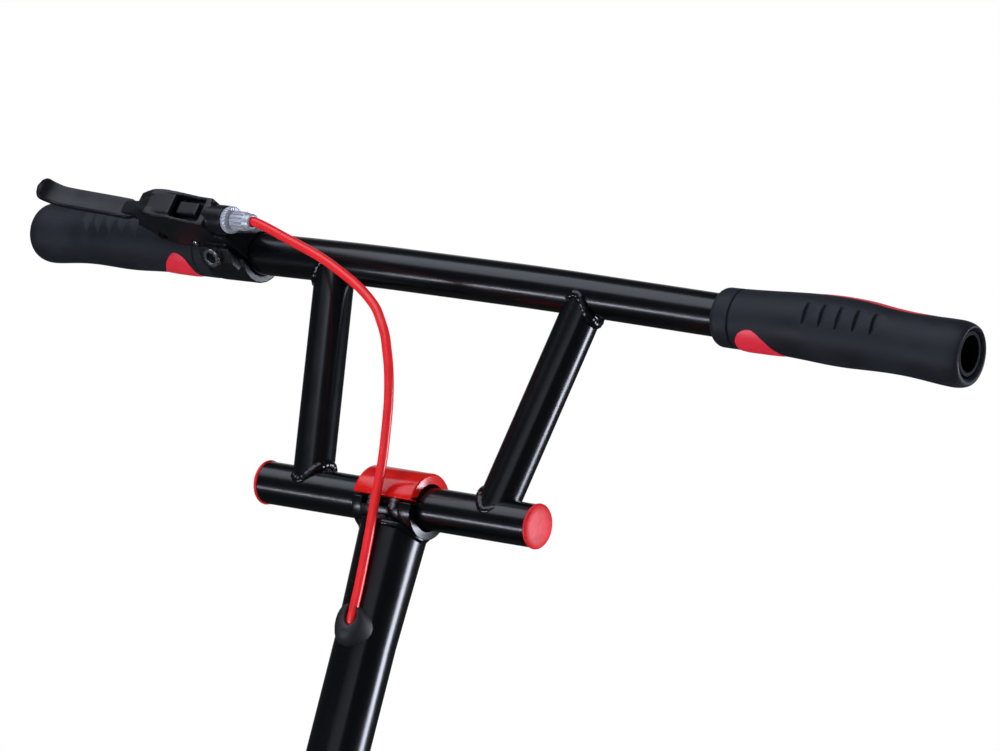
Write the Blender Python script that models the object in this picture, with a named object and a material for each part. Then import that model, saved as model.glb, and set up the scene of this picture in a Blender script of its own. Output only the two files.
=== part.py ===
# Stunt scooter with 12 inch wheels, an H-shaped handlebar clamped in a cradle on the column,
# and one hand brake whose cable runs inside the column and the steerer to a drum in the front hub.
# Metres. +Z is up, the scooter heads along -Y, and +X is the rider's left. The origin lies on the
# ground, midway between the axles.
from math import acos, asin, atan2, cos, degrees, hypot, pi, radians, sin

import bmesh
import bpy
from mathutils import Euler, Matrix, Vector

for old in list(bpy.data.objects):
    bpy.data.objects.remove(old, do_unlink=True)

# Clearances
FIT = 0.0003            # between two touching solids
RUN = 0.0012            # beside a part that moves
MERGE = 0.000003        # points nearer than this are one
PAST = 0.001            # how far a cutting shape runs past the face it cuts

# Wheels
WHEELBASE = 0.780
TYRE_RADIUS = 0.150
TYRE_WIDTH = 0.050
TYRE_WALL = 0.0035
TYRE_BEAD = 0.0045
TYRE_HEIGHT = 0.0435    # from the bead seat to the tread
RIM_RADIUS = TYRE_RADIUS - TYRE_HEIGHT     # bead seat
RIM_WIDTH = 0.034
RIM_FLANGE = 0.0045     # thickness of each side
RIM_LIP = 0.0060        # height of each side over the bead seat
RIM_DEPTH = 0.013
RIM_SIDE = 0.005        # depth of each side under the bead seat
RIM_BED = 0.55          # width of the rim's inner edge, as a share
HUB_RADIUS = 0.017
HUB_HALF = 0.0385       # half length of the hub shell
SPOKES = 5
SPOKE_WIDTH = 0.020
SPOKE_DEPTH = 0.016
SPOKE_TAPER = 0.72      # outer width, as a share of the inner one
AXLE_RADIUS = 0.005
AXLE_COLLAR = 0.0085
BEARING_RADIUS = 0.0120
BEARING_WIDTH = 0.008
DROPOUT_INNER = 0.0455  # inner faces of the dropouts, from the middle
DROPOUT_PLATE = 0.005
AXLE_NUT_RADIUS = 0.0098
AXLE_NUT_HEIGHT = 0.008
AXLE_STUB = 0.003       # axle end past its nut
DROPOUT_RADIUS = 0.0135

# Steering
LEAN = radians(20)      # of the column, back from upright
FORK_OFFSET = 0.035
CROWN_BOTTOM = 0.170    # along the steering axis, from beside the axle
CROWN_HEIGHT = 0.024
CROWN_WIDTH = 0.122
CROWN_DEPTH = 0.040
LEG_SPREAD = 0.0480     # of each leg's axis from the middle
LEG_RADIUS = 0.0120
LEG_END = 0.020         # foot of each leg over the axle
DROPOUT_TOP = 0.034     # top of the fork's dropouts over the axle
STEERER_RADIUS = 0.0143
STEERER_BORE = 0.0115
STEERER_TOP = 0.420
HEAD_BOTTOM = 0.212
HEAD_LENGTH = 0.100
HEAD_RADIUS = 0.0185
HEAD_BORE = 0.0162
CUP_RADIUS = 0.0232
CUP_HEIGHT = 0.0115
CUP_SKIRT = 0.009
CUP_WALL = 0.0011
CUP_EDGE = 0.002        # height of the slope on the cup's edge
RACE_RADIUS = 0.0205
RACE_HEIGHT = 0.0045
BALL_RING_HEIGHT = 0.0050
LOCK_NUT_RADIUS = 0.0190
LOCK_NUT_HEIGHT = 0.0075

# Column
COLUMN_RADIUS = 0.0159
COLUMN_FLARE_RADIUS = 0.0178
COLUMN_FLARE_LENGTH = 0.062
COLUMN_TOP_DROP = 0.0005    # the tube's top, below the cradle's lips
COLUMN_BOTTOM = 0.343
BAR_PIVOT = 0.658       # lower crossbar, along the steering axis
COLLAR_HEIGHT = 0.034
COLLAR_WALL = 0.0050
COLLAR_EAR = 0.015
COLLAR_EAR_HALF = 0.0110 # half width over both ears
COLLAR_SLIT = 0.0030
COLLAR_BOLT_RADIUS = 0.0030
COLLAR_BOLT_SPACING = 0.018
COLLAR_BOLT_REACH = 0.008   # each bolt's axis, behind the ring
COLLAR_BOLT_HEAD = 0.00495
COLLAR_BOLT_ENDS = (-0.0100, 0.0170)
COLLAR_LIFT = 0.004     # the collar's lower edge, over the column's
COLUMN_SLOT = 0.0025
COLUMN_SLOT_LENGTH = 0.046

# Handlebar
TUBE_RADIUS = 0.0111
TUBE_WALL = 0.0018
BAR_RISE = 0.1211       # top bar above the crossbar
BAR_HALF = 0.3015       # half length of the top bar, along its axis
BEND_START = 0.0326
BEND_RADIUS = 0.540
BEND_ANGLE = 0.0928
CROSSBAR_HALF = 0.0870
UPRIGHT_TOP = 0.0830
UPRIGHT_FOOT = 0.0591
UPRIGHT_SLACK = 0.00005     # uprights are this much thinner, so no face lies in another tube's
PLUG_FLANGE = 0.0026
PLUG_DEPTH = 0.014
PLUG_PROUD = 0.0003     # the plug's rim outside the tube
PLUG_ROUND = 0.0012
GRIP_LENGTH = 0.1420    # of the left grip, on the bar
LEVER_GRIP_LENGTH = 0.1355  # the right grip starts outside the lever bracket
GRIP_START = BAR_HALF - GRIP_LENGTH
LEVER_GRIP_START = BAR_HALF - LEVER_GRIP_LENGTH
GRIP_OVERHANG = 0.0015
GRIP_END_HOLE = 0.0104

# Clamp
CRADLE_HALF = 0.0190
CRADLE_WALL = 0.0052
CAP_TOP = 0.0180
CAP_RADIUS = 0.0172
CAP_GAP = 0.0005        # cap's lips above the crossbar's axis
LIP_GAP = 0.0060        # between the cap's lips and the cradle's
CLAMP_BOLT_RADIUS = 0.0020
CLAMP_BOLT_SPACING = 0.0140
CLAMP_BOLT_REACH = 0.0142
CLAMP_COLLAR_RADIUS = 0.00275
CLAMP_BOLT_FOOT = -0.0100   # ends of each stud, from the crossbar's axis
CLAMP_BOLT_TOP = 0.0042

# Brake lever, in its own frame on the bar: X along the bar to the middle, -Y to the lever, Z up
LEVER_INSET = 0.1455    # along the bar, from its end
LEVER_PLACE = BAR_HALF - LEVER_INSET
LEVER_TILT = radians(15)
RING_INNER_X = 0.0190    # ends of the ring around the bar
RING_OUTER_X = -0.0080
BRACKET_WALL = 0.0046
BRACKET_HEIGHT = 0.0165
BRACKET_SLOT = 0.0086
CABLE_REACH = 0.0353    # cable's line, ahead of the bar's axis
BOSS_END = 0.0205
BOSS_RADIUS = 0.0074
BARREL_RADIUS = 0.0050
BARREL_THREAD = 0.0038
BARREL_LENGTH = 0.0155
BARREL_INSET = 0.013
LOCK_RING_RADIUS = 0.0072
LOCK_RING_HEIGHT = 0.0037
PIVOT_X = -0.0330
PIVOT_REACH = 0.0235
PIVOT_RADIUS = 0.0025
PIN_PROUD = 0.0005      # the pin's ends outside the bracket
BLADE_HEIGHT = 0.0110
BLADE_ROOT = 0.0078
BLADE_THICK = 0.0042
BRACKET_BOLT_X = 0.0060
BRACKET_BOLT_REACH = 0.0173
BRACKET_BOLT_RADIUS = 0.0025
BRACKET_HEAD_RADIUS = 0.0050
BRACKET_HEAD_HEIGHT = 0.0045
BRACKET_BOLT_TOP = -0.0010
SET_SCREW_RADIUS = 0.0020
SET_SCREW_PROUD = 0.0008
NIPPLE_RADIUS = 0.0032

# Cable
CABLE_RADIUS = 0.0025
WIRE_RADIUS = 0.0008
GROMMET_DROP = 0.0680   # below the crossbar's axis
GROMMET_RADIUS = 0.0100
GROMMET_NECK = 0.0075
GROMMET_DOME = 0.0050
GROMMET_FLANGE = 0.0020     # straight edge under the dome

# Front drum brake
DRUM_RADIUS = 0.0440
DRUM_WALL = 0.0040
DRUM_INNER_X = 0.0080
DRUM_OUTER_X = 0.0290
PLATE_THICK = 0.0030
PLATE_RADIUS = 0.0435
PLATE_BOSS = 0.0090
LUG_LINE = 0.0055       # lugs around the left leg: the leg's axis there, behind the axle
LUG_THICK = 0.0050
LUG_LOW = 0.0300
LUG_HEIGHT = 0.0060
LUG_REACH = 0.0420
ANCHOR_RADIUS = 0.0040
SHOE_DEPTH = 0.0130
SHOE_WALL = 0.0080
SHOE_GAP = 0.0020       # beside the drum's floor
SHOE_CUT = 8            # degrees off each shoe's ends
CAM_HALF = (0.0055, 0.0035)
LINING_GAP = 0.0010
CAM_RADIUS = 0.0045
CAM_STUB = 0.0020       # shaft's end past the arm
CAM_Y = -0.0590
CAM_Z = 0.0220
ARM_LENGTH = 0.0450
WIRE_END = 0.0010       # wire's end past the middle of the arm's barrel
WIRE_BARREL_RADIUS = 0.0045
WIRE_BARREL_HALF = 0.0030
ARM_THICK = 0.0030
ARM_WIDTH = 0.0120
STOP_REACH = 0.0750     # from the arm's end to the cable stop
STOP_LENGTH = 0.0120
STOP_HALF = 0.0050      # the stop's tab: outer half width, inner reach, front and back
STOP_INNER = 0.0090
STOP_FRONT = 0.0045
STOP_BACK = 0.0300

# Frame
RAIL_RADIUS = 0.0110
RAIL_SPREAD = 0.0400
RAIL_HEIGHT = 0.0750
RAIL_INSET = 0.0100     # rails' front ends, behind the deck's
DOWN_TUBE_RADIUS = 0.0190
CROSS_RADIUS = 0.0090
DECK_LEAD = 0.2800      # the deck's front edge, behind the front axle
DECK_GAP = 0.0220       # between the deck and the rear tyre
DECK_FRONT = DECK_LEAD - WHEELBASE / 2
DECK_REAR = WHEELBASE / 2 - TYRE_RADIUS - DECK_GAP
DECK_WIDTH = 0.1250
DECK_THICK = 0.0100
DECK_CORNER = 0.0200
NOTCH_SIDE = 0.0030     # notch's room beside the down tube
NOTCH_DEPTH = 0.0600
TAPE_THICK = 0.0012
TAPE_MARGIN = 0.0080
DECK_SCREW_RADIUS = 0.0025
DECK_SCREW_HEAD = 0.0050
DECK_SCREW_SINK = 0.0030
WEB_THICK = 0.0080
WEB_INSET = 0.0040
STAY_DROP = 0.0120      # end of each stay, under the rear axle and ahead of it
STAY_LEAD = 0.0280
STAY_END_SPREAD = 0.0490
STAY_BENDS = ((0.0465, 0.243, 0.206), (0.0520, 0.557, 0.556))

# The down tube leaves the head tube and bends down to the rails. Its upper points are distances
# along the steering axis and behind it, its lower ones are from the deck's front edge and the rails.
SPINE_UPPER = ((0.272, 0.004), (0.225, 0.062), (0.165, 0.122))
SPINE_LOWER = ((-0.042, 0.115), (-0.030, 0.063), (-0.008, 0.023), (0.025, -0.002),
               (0.065, -0.0085), (0.095, -0.0085))

# Stand
STAND_Y = 0.0700
STAND_ROD = 0.0050
STAND_TUBE_HALF = 0.0240
STAND_TUBE_RADIUS = 0.0090
STAND_AXIS_HEIGHT = 0.0490
STAND_RAKE = 0.0100     # feet ahead of the pivot
STAND_KNEE = 0.0340     # out from the middle: where each leg turns down, and its foot's two ends
STAND_FOOT = 0.0860
STAND_TOE = 0.0960
STAND_BEND = 0.0060


# Materials

def material(name, colour, roughness, metallic=0.0):
    made = bpy.data.materials.new(name)
    made.use_nodes = True
    shader = made.node_tree.nodes["Principled BSDF"]
    shader.inputs["Base Color"].default_value = (*colour, 1)
    shader.inputs["Roughness"].default_value = roughness
    shader.inputs["Metallic"].default_value = metallic
    return made


BLACK_PAINT = material("black_gloss_paint", (0.008, 0.008, 0.009), 0.18)
BLACK_PLASTIC = material("black_plastic", (0.015, 0.015, 0.017), 0.45)
BLACK_RUBBER = material("black_rubber", (0.020, 0.021, 0.024), 0.70)
RED_PAINT = material("red_gloss_paint", (0.55, 0.010, 0.012), 0.25)
RED_PLASTIC = material("red_plastic", (0.55, 0.012, 0.020), 0.35)
STEEL = material("zinc_plated_steel", (0.55, 0.55, 0.57), 0.30, 1.0)
ALUMINIUM = material("aluminium", (0.62, 0.63, 0.65), 0.35, 1.0)
GRIT = material("grip_tape", (0.018, 0.018, 0.018), 0.95)


# Frames that the pieces are placed in

def empty(name, parent=None, location=(0, 0, 0), rotation=(0, 0, 0)):
    made = bpy.data.objects.new(name, None)
    bpy.context.scene.collection.objects.link(made)
    made.parent = parent
    made.location = location
    made.rotation_euler = rotation
    bpy.context.view_layer.update()
    return made


AXLE_Y = WHEELBASE / 2
AXIS_FOOT = Vector((0, -AXLE_Y + FORK_OFFSET * cos(LEAN), TYRE_RADIUS - FORK_OFFSET * sin(LEAN)))
STEERING = empty("steering", None, AXIS_FOOT, (-LEAN, 0, 0))
FRONT_AXLE = empty("front_wheel_axis", STEERING, (0, -FORK_OFFSET, 0))
REAR_AXLE = empty("rear_wheel_axis", None, (0, AXLE_Y, TYRE_RADIUS))
HANDLEBAR = empty("bar_tilt", STEERING, (0, 0, BAR_PIVOT))


def bar_point(s):
    """Point on the top bar's axis at the distance s from the middle, in the handlebar's frame.
    The bar is straight, then bends back through BEND_ANGLE, then is straight again."""
    side = -1 if s < 0 else 1
    run = abs(s)
    bent = min(max(run - BEND_START, 0) / BEND_RADIUS, BEND_ANGLE)
    past = max(run - BEND_START - BEND_RADIUS * BEND_ANGLE, 0)
    x = min(run, BEND_START) + BEND_RADIUS * sin(bent) + past * cos(bent)
    y = BEND_RADIUS * (1 - cos(bent)) + past * sin(bent)
    return Vector((side * x, y, BAR_RISE))


def bar_frame(name, s, tilt=0.0):
    """Empty on the top bar at s, X along the bar to the rider's left, turned by tilt about X."""
    yaw = BEND_ANGLE if s > 0 else -BEND_ANGLE
    turn = Euler((0, 0, yaw)).to_matrix() @ Euler((tilt, 0, 0)).to_matrix()
    return empty(name, HANDLEBAR, bar_point(s), turn.to_euler())


LEVER = bar_frame("lever_mount", -LEVER_PLACE, -LEVER_TILT)
BLADE = empty("lever_pivot", LEVER, (PIVOT_X, -PIVOT_REACH, 0))
BARREL = empty("barrel_axis", LEVER, (BOSS_END, -CABLE_REACH, 0))


# Shapes

def solid(name, mesh, paint, parent=None, location=(0, 0, 0), rotation=(0, 0, 0)):
    """Object with one material, shaded smooth apart from its sharp edges."""
    made = bpy.data.objects.new(name, mesh)
    bpy.context.scene.collection.objects.link(made)
    mesh.materials.clear()
    mesh.materials.append(paint)
    made.parent = parent
    made.location = location
    made.rotation_euler = rotation
    mesh.shade_smooth()
    mesh.set_sharp_from_angle(angle=radians(35))
    return made


def mesh_from(vertices, faces):
    shape = bmesh.new()
    made = [shape.verts.new(v) for v in vertices]
    for face in faces:
        shape.faces.new([made[i] for i in face])
    bmesh.ops.recalc_face_normals(shape, faces=shape.faces)
    mesh = bpy.data.meshes.new("shape")
    shape.to_mesh(mesh)
    shape.free()
    return mesh


def along(mesh, axis):
    """The mesh with its Z axis laid along X, Y or Z."""
    if axis == "X":
        mesh.transform(Matrix.Rotation(pi / 2, 4, "Y"))
    if axis == "Y":
        mesh.transform(Matrix.Rotation(-pi / 2, 4, "X"))
    return mesh


def turned(profile, sides=24, axis="Z"):
    """Body of revolution of a closed outline of (radius, height) points about an axis.
    A point at radius 0 becomes a pole."""
    rings, vertices, faces = [], [], []
    for radius, height in profile:
        if radius == 0:
            rings.append([len(vertices)] * sides)
            vertices.append((0, 0, height))
            continue
        rings.append(list(range(len(vertices), len(vertices) + sides)))
        for k in range(sides):
            turn = 2 * pi * k / sides
            vertices.append((radius * cos(turn), radius * sin(turn), height))
    for a, b in zip(rings, rings[1:] + rings[:1]):
        for k in range(sides):
            j = (k + 1) % sides
            loop = list(dict.fromkeys((a[k], a[j], b[j], b[k])))
            if len(loop) > 2:
                faces.append(loop)
    return along(mesh_from(vertices, faces), axis)


def ring(inner, outer, low, high, sides=24, axis="Z"):
    return turned([(inner, low), (outer, low), (outer, high), (inner, high)], sides, axis)


def rod(radius, low, high, sides=24, axis="Z"):
    return turned([(0, low), (radius, low), (radius, high), (0, high)], sides, axis)


def prism(outline, low, high, axis="Z"):
    """Outline of 2D points raised from low to high. Along Z the points are (x, y), along X (y, z)
    and along Y (x, z)."""
    n = len(outline)
    order = {"Z": lambda p, h: (p[0], p[1], h), "X": lambda p, h: (h, p[0], p[1]),
             "Y": lambda p, h: (p[0], h, p[1])}[axis]
    vertices = [order(p, h) for h in (low, high) for p in outline]
    faces = [list(range(n)), list(range(n, 2 * n))]
    faces += [[k, (k + 1) % n, n + (k + 1) % n, n + k] for k in range(n)]
    return mesh_from(vertices, faces)


def block(low, high):
    (x0, y0, z0), (x1, y1, z1) = low, high
    return prism([(x0, y0), (x1, y0), (x1, y1), (x0, y1)], z0, z1)


def nut(radius, bore, low, high, axis="Z", sides=12):
    """Hexagonal nut, radius measured to its corners, with a round bore."""
    vertices, faces = [], []
    for flat, height in ((False, low), (True, low), (True, high), (False, high)):
        for k in range(sides):
            turn = 2 * pi * k / sides
            size = radius * cos(pi / 6) / cos(turn % (pi / 3) - pi / 6) if flat else bore
            vertices.append((size * cos(turn), size * sin(turn), height))
    for a in range(4):
        for k in range(sides):
            j, b = (k + 1) % sides, (a + 1) % 4
            faces.append([a * sides + k, a * sides + j, b * sides + j, b * sides + k])
    return along(mesh_from(vertices, faces), axis)


def arc(centre, radius, start, end, steps):
    """Points on an arc in 2D, angles in degrees."""
    turns = [radians(start + (end - start) * k / steps) for k in range(steps + 1)]
    return [(centre[0] + radius * cos(a), centre[1] + radius * sin(a)) for a in turns]


def swept(path, radius, sides=16, bore=0.0):
    """Round tube along a list of points, its rings square to the path. With a bore it is open at
    both ends."""
    path = [Vector(p) for p in path]
    tangents = [(b - a).normalized() for a, b in zip(path, path[1:])]
    middle = [(a + b).normalized() for a, b in zip(tangents, tangents[1:])]
    tangents = [tangents[0], *middle, tangents[-1]]
    side = tangents[0].orthogonal().normalized()
    rings = []
    for point, tangent in zip(path, tangents):
        side = (side - tangent * side.dot(tangent)).normalized()
        rings.append((point, side.copy(), tangent.cross(side)))

    def shell(size):
        return [p + size * (u * cos(2 * pi * k / sides) + v * sin(2 * pi * k / sides))
                for p, u, v in rings for k in range(sides)]

    vertices = shell(radius)
    n = len(rings)
    faces = []
    for a in range(n - 1):
        for k in range(sides):
            i, j = a * sides + k, a * sides + (k + 1) % sides
            faces.append([i, j, j + sides, i + sides])
    if not bore:
        faces += [list(range(sides)), list(range((n - 1) * sides, n * sides))]
        return mesh_from(vertices, faces)
    shift = len(vertices)
    vertices += shell(bore)
    faces += [[shift + i for i in face] for face in faces]
    for a in (0, n - 1):
        for k in range(sides):
            i, j = a * sides + k, a * sides + (k + 1) % sides
            faces.append([i, j, shift + j, shift + i])
    return mesh_from(vertices, faces)


def smooth_path(points, step):
    """Even points along a smooth curve (Catmull-Rom) through the given ones."""
    points = [Vector(p) for p in points]
    ends = [2 * points[0] - points[1]] + points + [2 * points[-1] - points[-2]]
    fine = []
    for a, b, c, d in zip(ends, ends[1:], ends[2:], ends[3:]):
        for k in range(24):
            t = k / 24
            fine.append(0.5 * (2 * b + (c - a) * t + (2 * a - 5 * b + 4 * c - d) * t * t
                               + (3 * b - 3 * c + d - a) * t ** 3))
    fine.append(points[-1])
    lengths = [0.0]
    for a, b in zip(fine, fine[1:]):
        lengths.append(lengths[-1] + (b - a).length)
    count = max(2, round(lengths[-1] / step))
    out, j = [], 0
    for k in range(count + 1):
        want = lengths[-1] * k / count
        while j < len(fine) - 2 and lengths[j + 1] < want:
            j += 1
        share = (want - lengths[j]) / (lengths[j + 1] - lengths[j])
        out.append(fine[j].lerp(fine[j + 1], min(max(share, 0), 1)))
    return out


def cable_line(points, step):
    """Even points along a smooth curve, between a straight first stretch and a straight last one."""
    return [Vector(points[0])] + smooth_path(points[1:-1], step) + [Vector(points[-1])]


def moved(mesh, location=(0, 0, 0), rotation=(0, 0, 0)):
    mesh.transform(Matrix.Translation(location) @ Euler(rotation).to_matrix().to_4x4())
    return mesh


def cleaned(mesh):
    """The mesh without the doubled points and slivers that a Boolean leaves."""
    shape = bmesh.new()
    shape.from_mesh(mesh)
    bmesh.ops.remove_doubles(shape, verts=shape.verts, dist=MERGE)
    bmesh.ops.dissolve_degenerate(shape, edges=shape.edges, dist=MERGE)
    shape.to_mesh(mesh)
    shape.free()
    return mesh


def carved(base, *steps):
    """Mesh made from base by applied Booleans, each step an operation and a mesh."""
    target = bpy.data.objects.new("base", base)
    bpy.context.scene.collection.objects.link(target)
    for operation, mesh in steps:
        tool = bpy.data.objects.new("tool", mesh)
        bpy.context.scene.collection.objects.link(tool)
        change = target.modifiers.new("change", "BOOLEAN")
        change.operation = operation
        change.object = tool
        bpy.context.view_layer.update()
        result = bpy.data.meshes.new_from_object(target.evaluated_get(bpy.context.evaluated_depsgraph_get()))
        target.modifiers.clear()
        target.data = cleaned(result)
        bpy.data.objects.remove(tool, do_unlink=True)
    result = target.data
    bpy.data.objects.remove(target, do_unlink=True)
    return result


def joined(base, *meshes):
    return carved(base, *[("UNION", mesh) for mesh in meshes])


def cut(base, *meshes):
    return carved(base, *[("DIFFERENCE", mesh) for mesh in meshes])


# Wheels: tyre, one-piece wheel with hub, bearings

HUB_END_FRONT = DRUM_INNER_X + DRUM_WALL


def tyre():
    """Hollow tyre open towards the rim. Its beads sit between the rim's sides."""
    centre = TYRE_RADIUS - TYRE_WIDTH / 2
    bead = RIM_WIDTH / 2 - RIM_FLANGE - FIT
    seat = RIM_RADIUS + FIT
    shoulder = RIM_RADIUS + RIM_LIP + 2 * FIT
    outer = arc((centre, 0), TYRE_WIDTH / 2, -118, 118, 6)
    inner = arc((centre, 0), TYRE_WIDTH / 2 - TYRE_WALL, 106, -106, 2)
    foot = bead - TYRE_BEAD
    return turned([(seat, -bead), (shoulder, -bead), *outer, (shoulder, bead), (seat, bead),
                   (seat, foot), (shoulder + TYRE_WALL, foot), *inner, (shoulder + TYRE_WALL, -foot),
                   (seat, -foot)], 32, "X")


def spoke(angle):
    """Flat spoke from the hub's wall to the rim's, tapering outwards."""
    low, high = (HUB_RADIUS + BEARING_RADIUS + FIT) / 2, RIM_RADIUS - RIM_DEPTH / 2
    inner, outer = SPOKE_WIDTH / 2, SPOKE_WIDTH * SPOKE_TAPER / 2
    outline = [(-inner, low), (inner, low), (outer, high), (-outer, high)]
    mesh = prism(outline, -SPOKE_DEPTH / 2, SPOKE_DEPTH / 2, "X")
    return moved(mesh, (0, 0, 0), (angle, 0, 0))


def wheel(drum):
    """Rim, spokes and hub shell in one piece. The front hub also has the brake drum."""
    half = RIM_WIDTH / 2
    floor, lip = RIM_RADIUS, RIM_RADIUS + RIM_LIP
    rim = turned([(floor - RIM_DEPTH, -half * RIM_BED), (floor - RIM_SIDE, -half), (lip, -half),
                  (lip, -half + RIM_FLANGE), (floor, -half + RIM_FLANGE),
                  (floor, half - RIM_FLANGE), (lip, half - RIM_FLANGE), (lip, half),
                  (floor - RIM_SIDE, half), (floor - RIM_DEPTH, half * RIM_BED)], 32, "X")
    seat = BEARING_RADIUS + FIT
    depth = BEARING_WIDTH + FIT
    bore = AXLE_RADIUS + RUN
    left = HUB_END_FRONT if drum else HUB_HALF
    outline = [(bore, depth - HUB_HALF), (seat, depth - HUB_HALF), (seat, -HUB_HALF), (HUB_RADIUS, -HUB_HALF)]
    if drum:
        outline += [(HUB_RADIUS, DRUM_INNER_X), (DRUM_RADIUS, DRUM_INNER_X), (DRUM_RADIUS, DRUM_OUTER_X),
                    (DRUM_RADIUS - DRUM_WALL, DRUM_OUTER_X), (DRUM_RADIUS - DRUM_WALL, left)]
    else:
        outline += [(HUB_RADIUS, left)]
    outline += [(seat, left), (seat, left - depth), (bore, left - depth)]
    hub = turned(outline, 20, "X")
    return joined(hub, rim, *[spoke(2 * pi * k / SPOKES) for k in range(SPOKES)])


def bearing():
    return ring(AXLE_RADIUS + FIT, BEARING_RADIUS, -BEARING_WIDTH / 2, BEARING_WIDTH / 2, 14, "X")


def axle(name, parent, drum):
    """Axle with a collar between each bearing and its dropout. On the drum's side the brake plate
    takes the collar's place."""
    reach = DROPOUT_INNER + DROPOUT_PLATE + AXLE_NUT_HEIGHT + AXLE_STUB + FIT
    low, high = HUB_HALF + FIT, DROPOUT_INNER - FIT
    outline = [(0, -reach), (AXLE_RADIUS, -reach), (AXLE_RADIUS, -high), (AXLE_COLLAR, -high),
               (AXLE_COLLAR, -low), (AXLE_RADIUS, -low)]
    if not drum:
        outline += [(AXLE_RADIUS, low), (AXLE_COLLAR, low), (AXLE_COLLAR, high), (AXLE_RADIUS, high)]
    outline += [(AXLE_RADIUS, reach), (0, reach)]
    solid(name + "_axle", turned(outline, 12, "X"), STEEL, parent)
    low = DROPOUT_INNER + DROPOUT_PLATE + FIT
    for side, sign in (("left", 1), ("right", -1)):
        hexagon = nut(AXLE_NUT_RADIUS, AXLE_RADIUS + FIT, low, low + AXLE_NUT_HEIGHT, "X")
        solid(f"{name}_axle_nut_{side}", hexagon, STEEL, parent, rotation=(0, 0, 0 if sign > 0 else pi))


for name, parent, drum in (("front", FRONT_AXLE, True), ("rear", REAR_AXLE, False)):
    solid(name + "_tyre", tyre(), BLACK_RUBBER, parent)
    solid(name + "_wheel", wheel(drum), BLACK_PLASTIC, parent)
    left_end = HUB_END_FRONT if drum else HUB_HALF
    middle = BEARING_WIDTH / 2
    solid(name + "_bearing_left", bearing(), STEEL, parent, (left_end - middle, 0, 0))
    solid(name + "_bearing_right", bearing(), STEEL, parent, (middle - HUB_HALF, 0, 0))
    axle(name, parent, drum)


# Fork: hollow steerer, crown, two legs with dropouts, and the stop for the brake cable

CROWN_TOP = CROWN_BOTTOM + CROWN_HEIGHT
LEG_SINK = 0.006        # each leg's top, below the crown's
LEG_BACK = 0.003        # each leg's foot, behind the axle
LEG_TOP = Vector((LEG_SPREAD, 0, CROWN_TOP - LEG_SINK))
LEG_FOOT = Vector((LEG_SPREAD, LEG_BACK - FORK_OFFSET, LEG_END))
ARM_LIE = Vector((0, -0.790, 0.613))    # from the cam to the arm's end
PULL = Vector((0, 0.613, 0.790))        # the wire's pull, square to the arm
CAM = Vector((0, CAM_Y, CAM_Z))
PLATE_INNER_X = DRUM_OUTER_X + RUN
PLATE_OUTER_X = PLATE_INNER_X + PLATE_THICK
ARM_X = PLATE_OUTER_X + FIT + ARM_THICK / 2
ARM_END = Vector((ARM_X, 0, 0)) + CAM + ARM_LENGTH * ARM_LIE
STOP = ARM_END + STOP_REACH * PULL

# Route of the brake cable from where its two lengths meet, above the rubber grommet: down the
# column and the steerer, out through the crown's front and on to the stop on the left leg. Its
# first and last stretches are straight.
MEET = Vector((0.0025, -0.0196, BAR_PIVOT - 0.0550))
MEET_RUN = Vector((-0.02, 0.06, -1)).normalized()
STRAIGHT = 2 * CABLE_RADIUS
LOWER_ROUTE = [
    tuple(MEET + FIT * MEET_RUN), tuple(MEET + STRAIGHT * MEET_RUN),
    (0.0012, -0.0166, BAR_PIVOT - 0.0690), (0.0004, -0.0100, BAR_PIVOT - 0.0840),
    (0, -0.0030, BAR_PIVOT - 0.1100), (0, 0.0010, BAR_PIVOT - 0.1500), (0, 0.0010, STEERER_TOP - 0.0200),
    (0, 0.0010, HEAD_BOTTOM + 0.0880), (0, 0.0005, HEAD_BOTTOM + 0.0330), (0, -0.0010, CROWN_TOP + 0.0300),
    (0.0010, -0.0050, CROWN_TOP + 0.0110), (0.0030, -0.0115, CROWN_TOP - 0.0030),
    (0.0062, -0.0203, CROWN_TOP - 0.0145), (0.0120, -0.0280, CROWN_TOP - 0.0250),
    (0.0205, -0.0325, CROWN_TOP - 0.0380), (0.0285, -0.0335, CROWN_TOP - 0.0510),
    (0.0338, -0.0355, CROWN_TOP - 0.0630), tuple(STOP + STOP_LENGTH * PULL), tuple(STOP + FIT * PULL),
]
PORT_ROUTE = LOWER_ROUTE[9:14]
HOUSING_STEP = 0.0125


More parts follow.
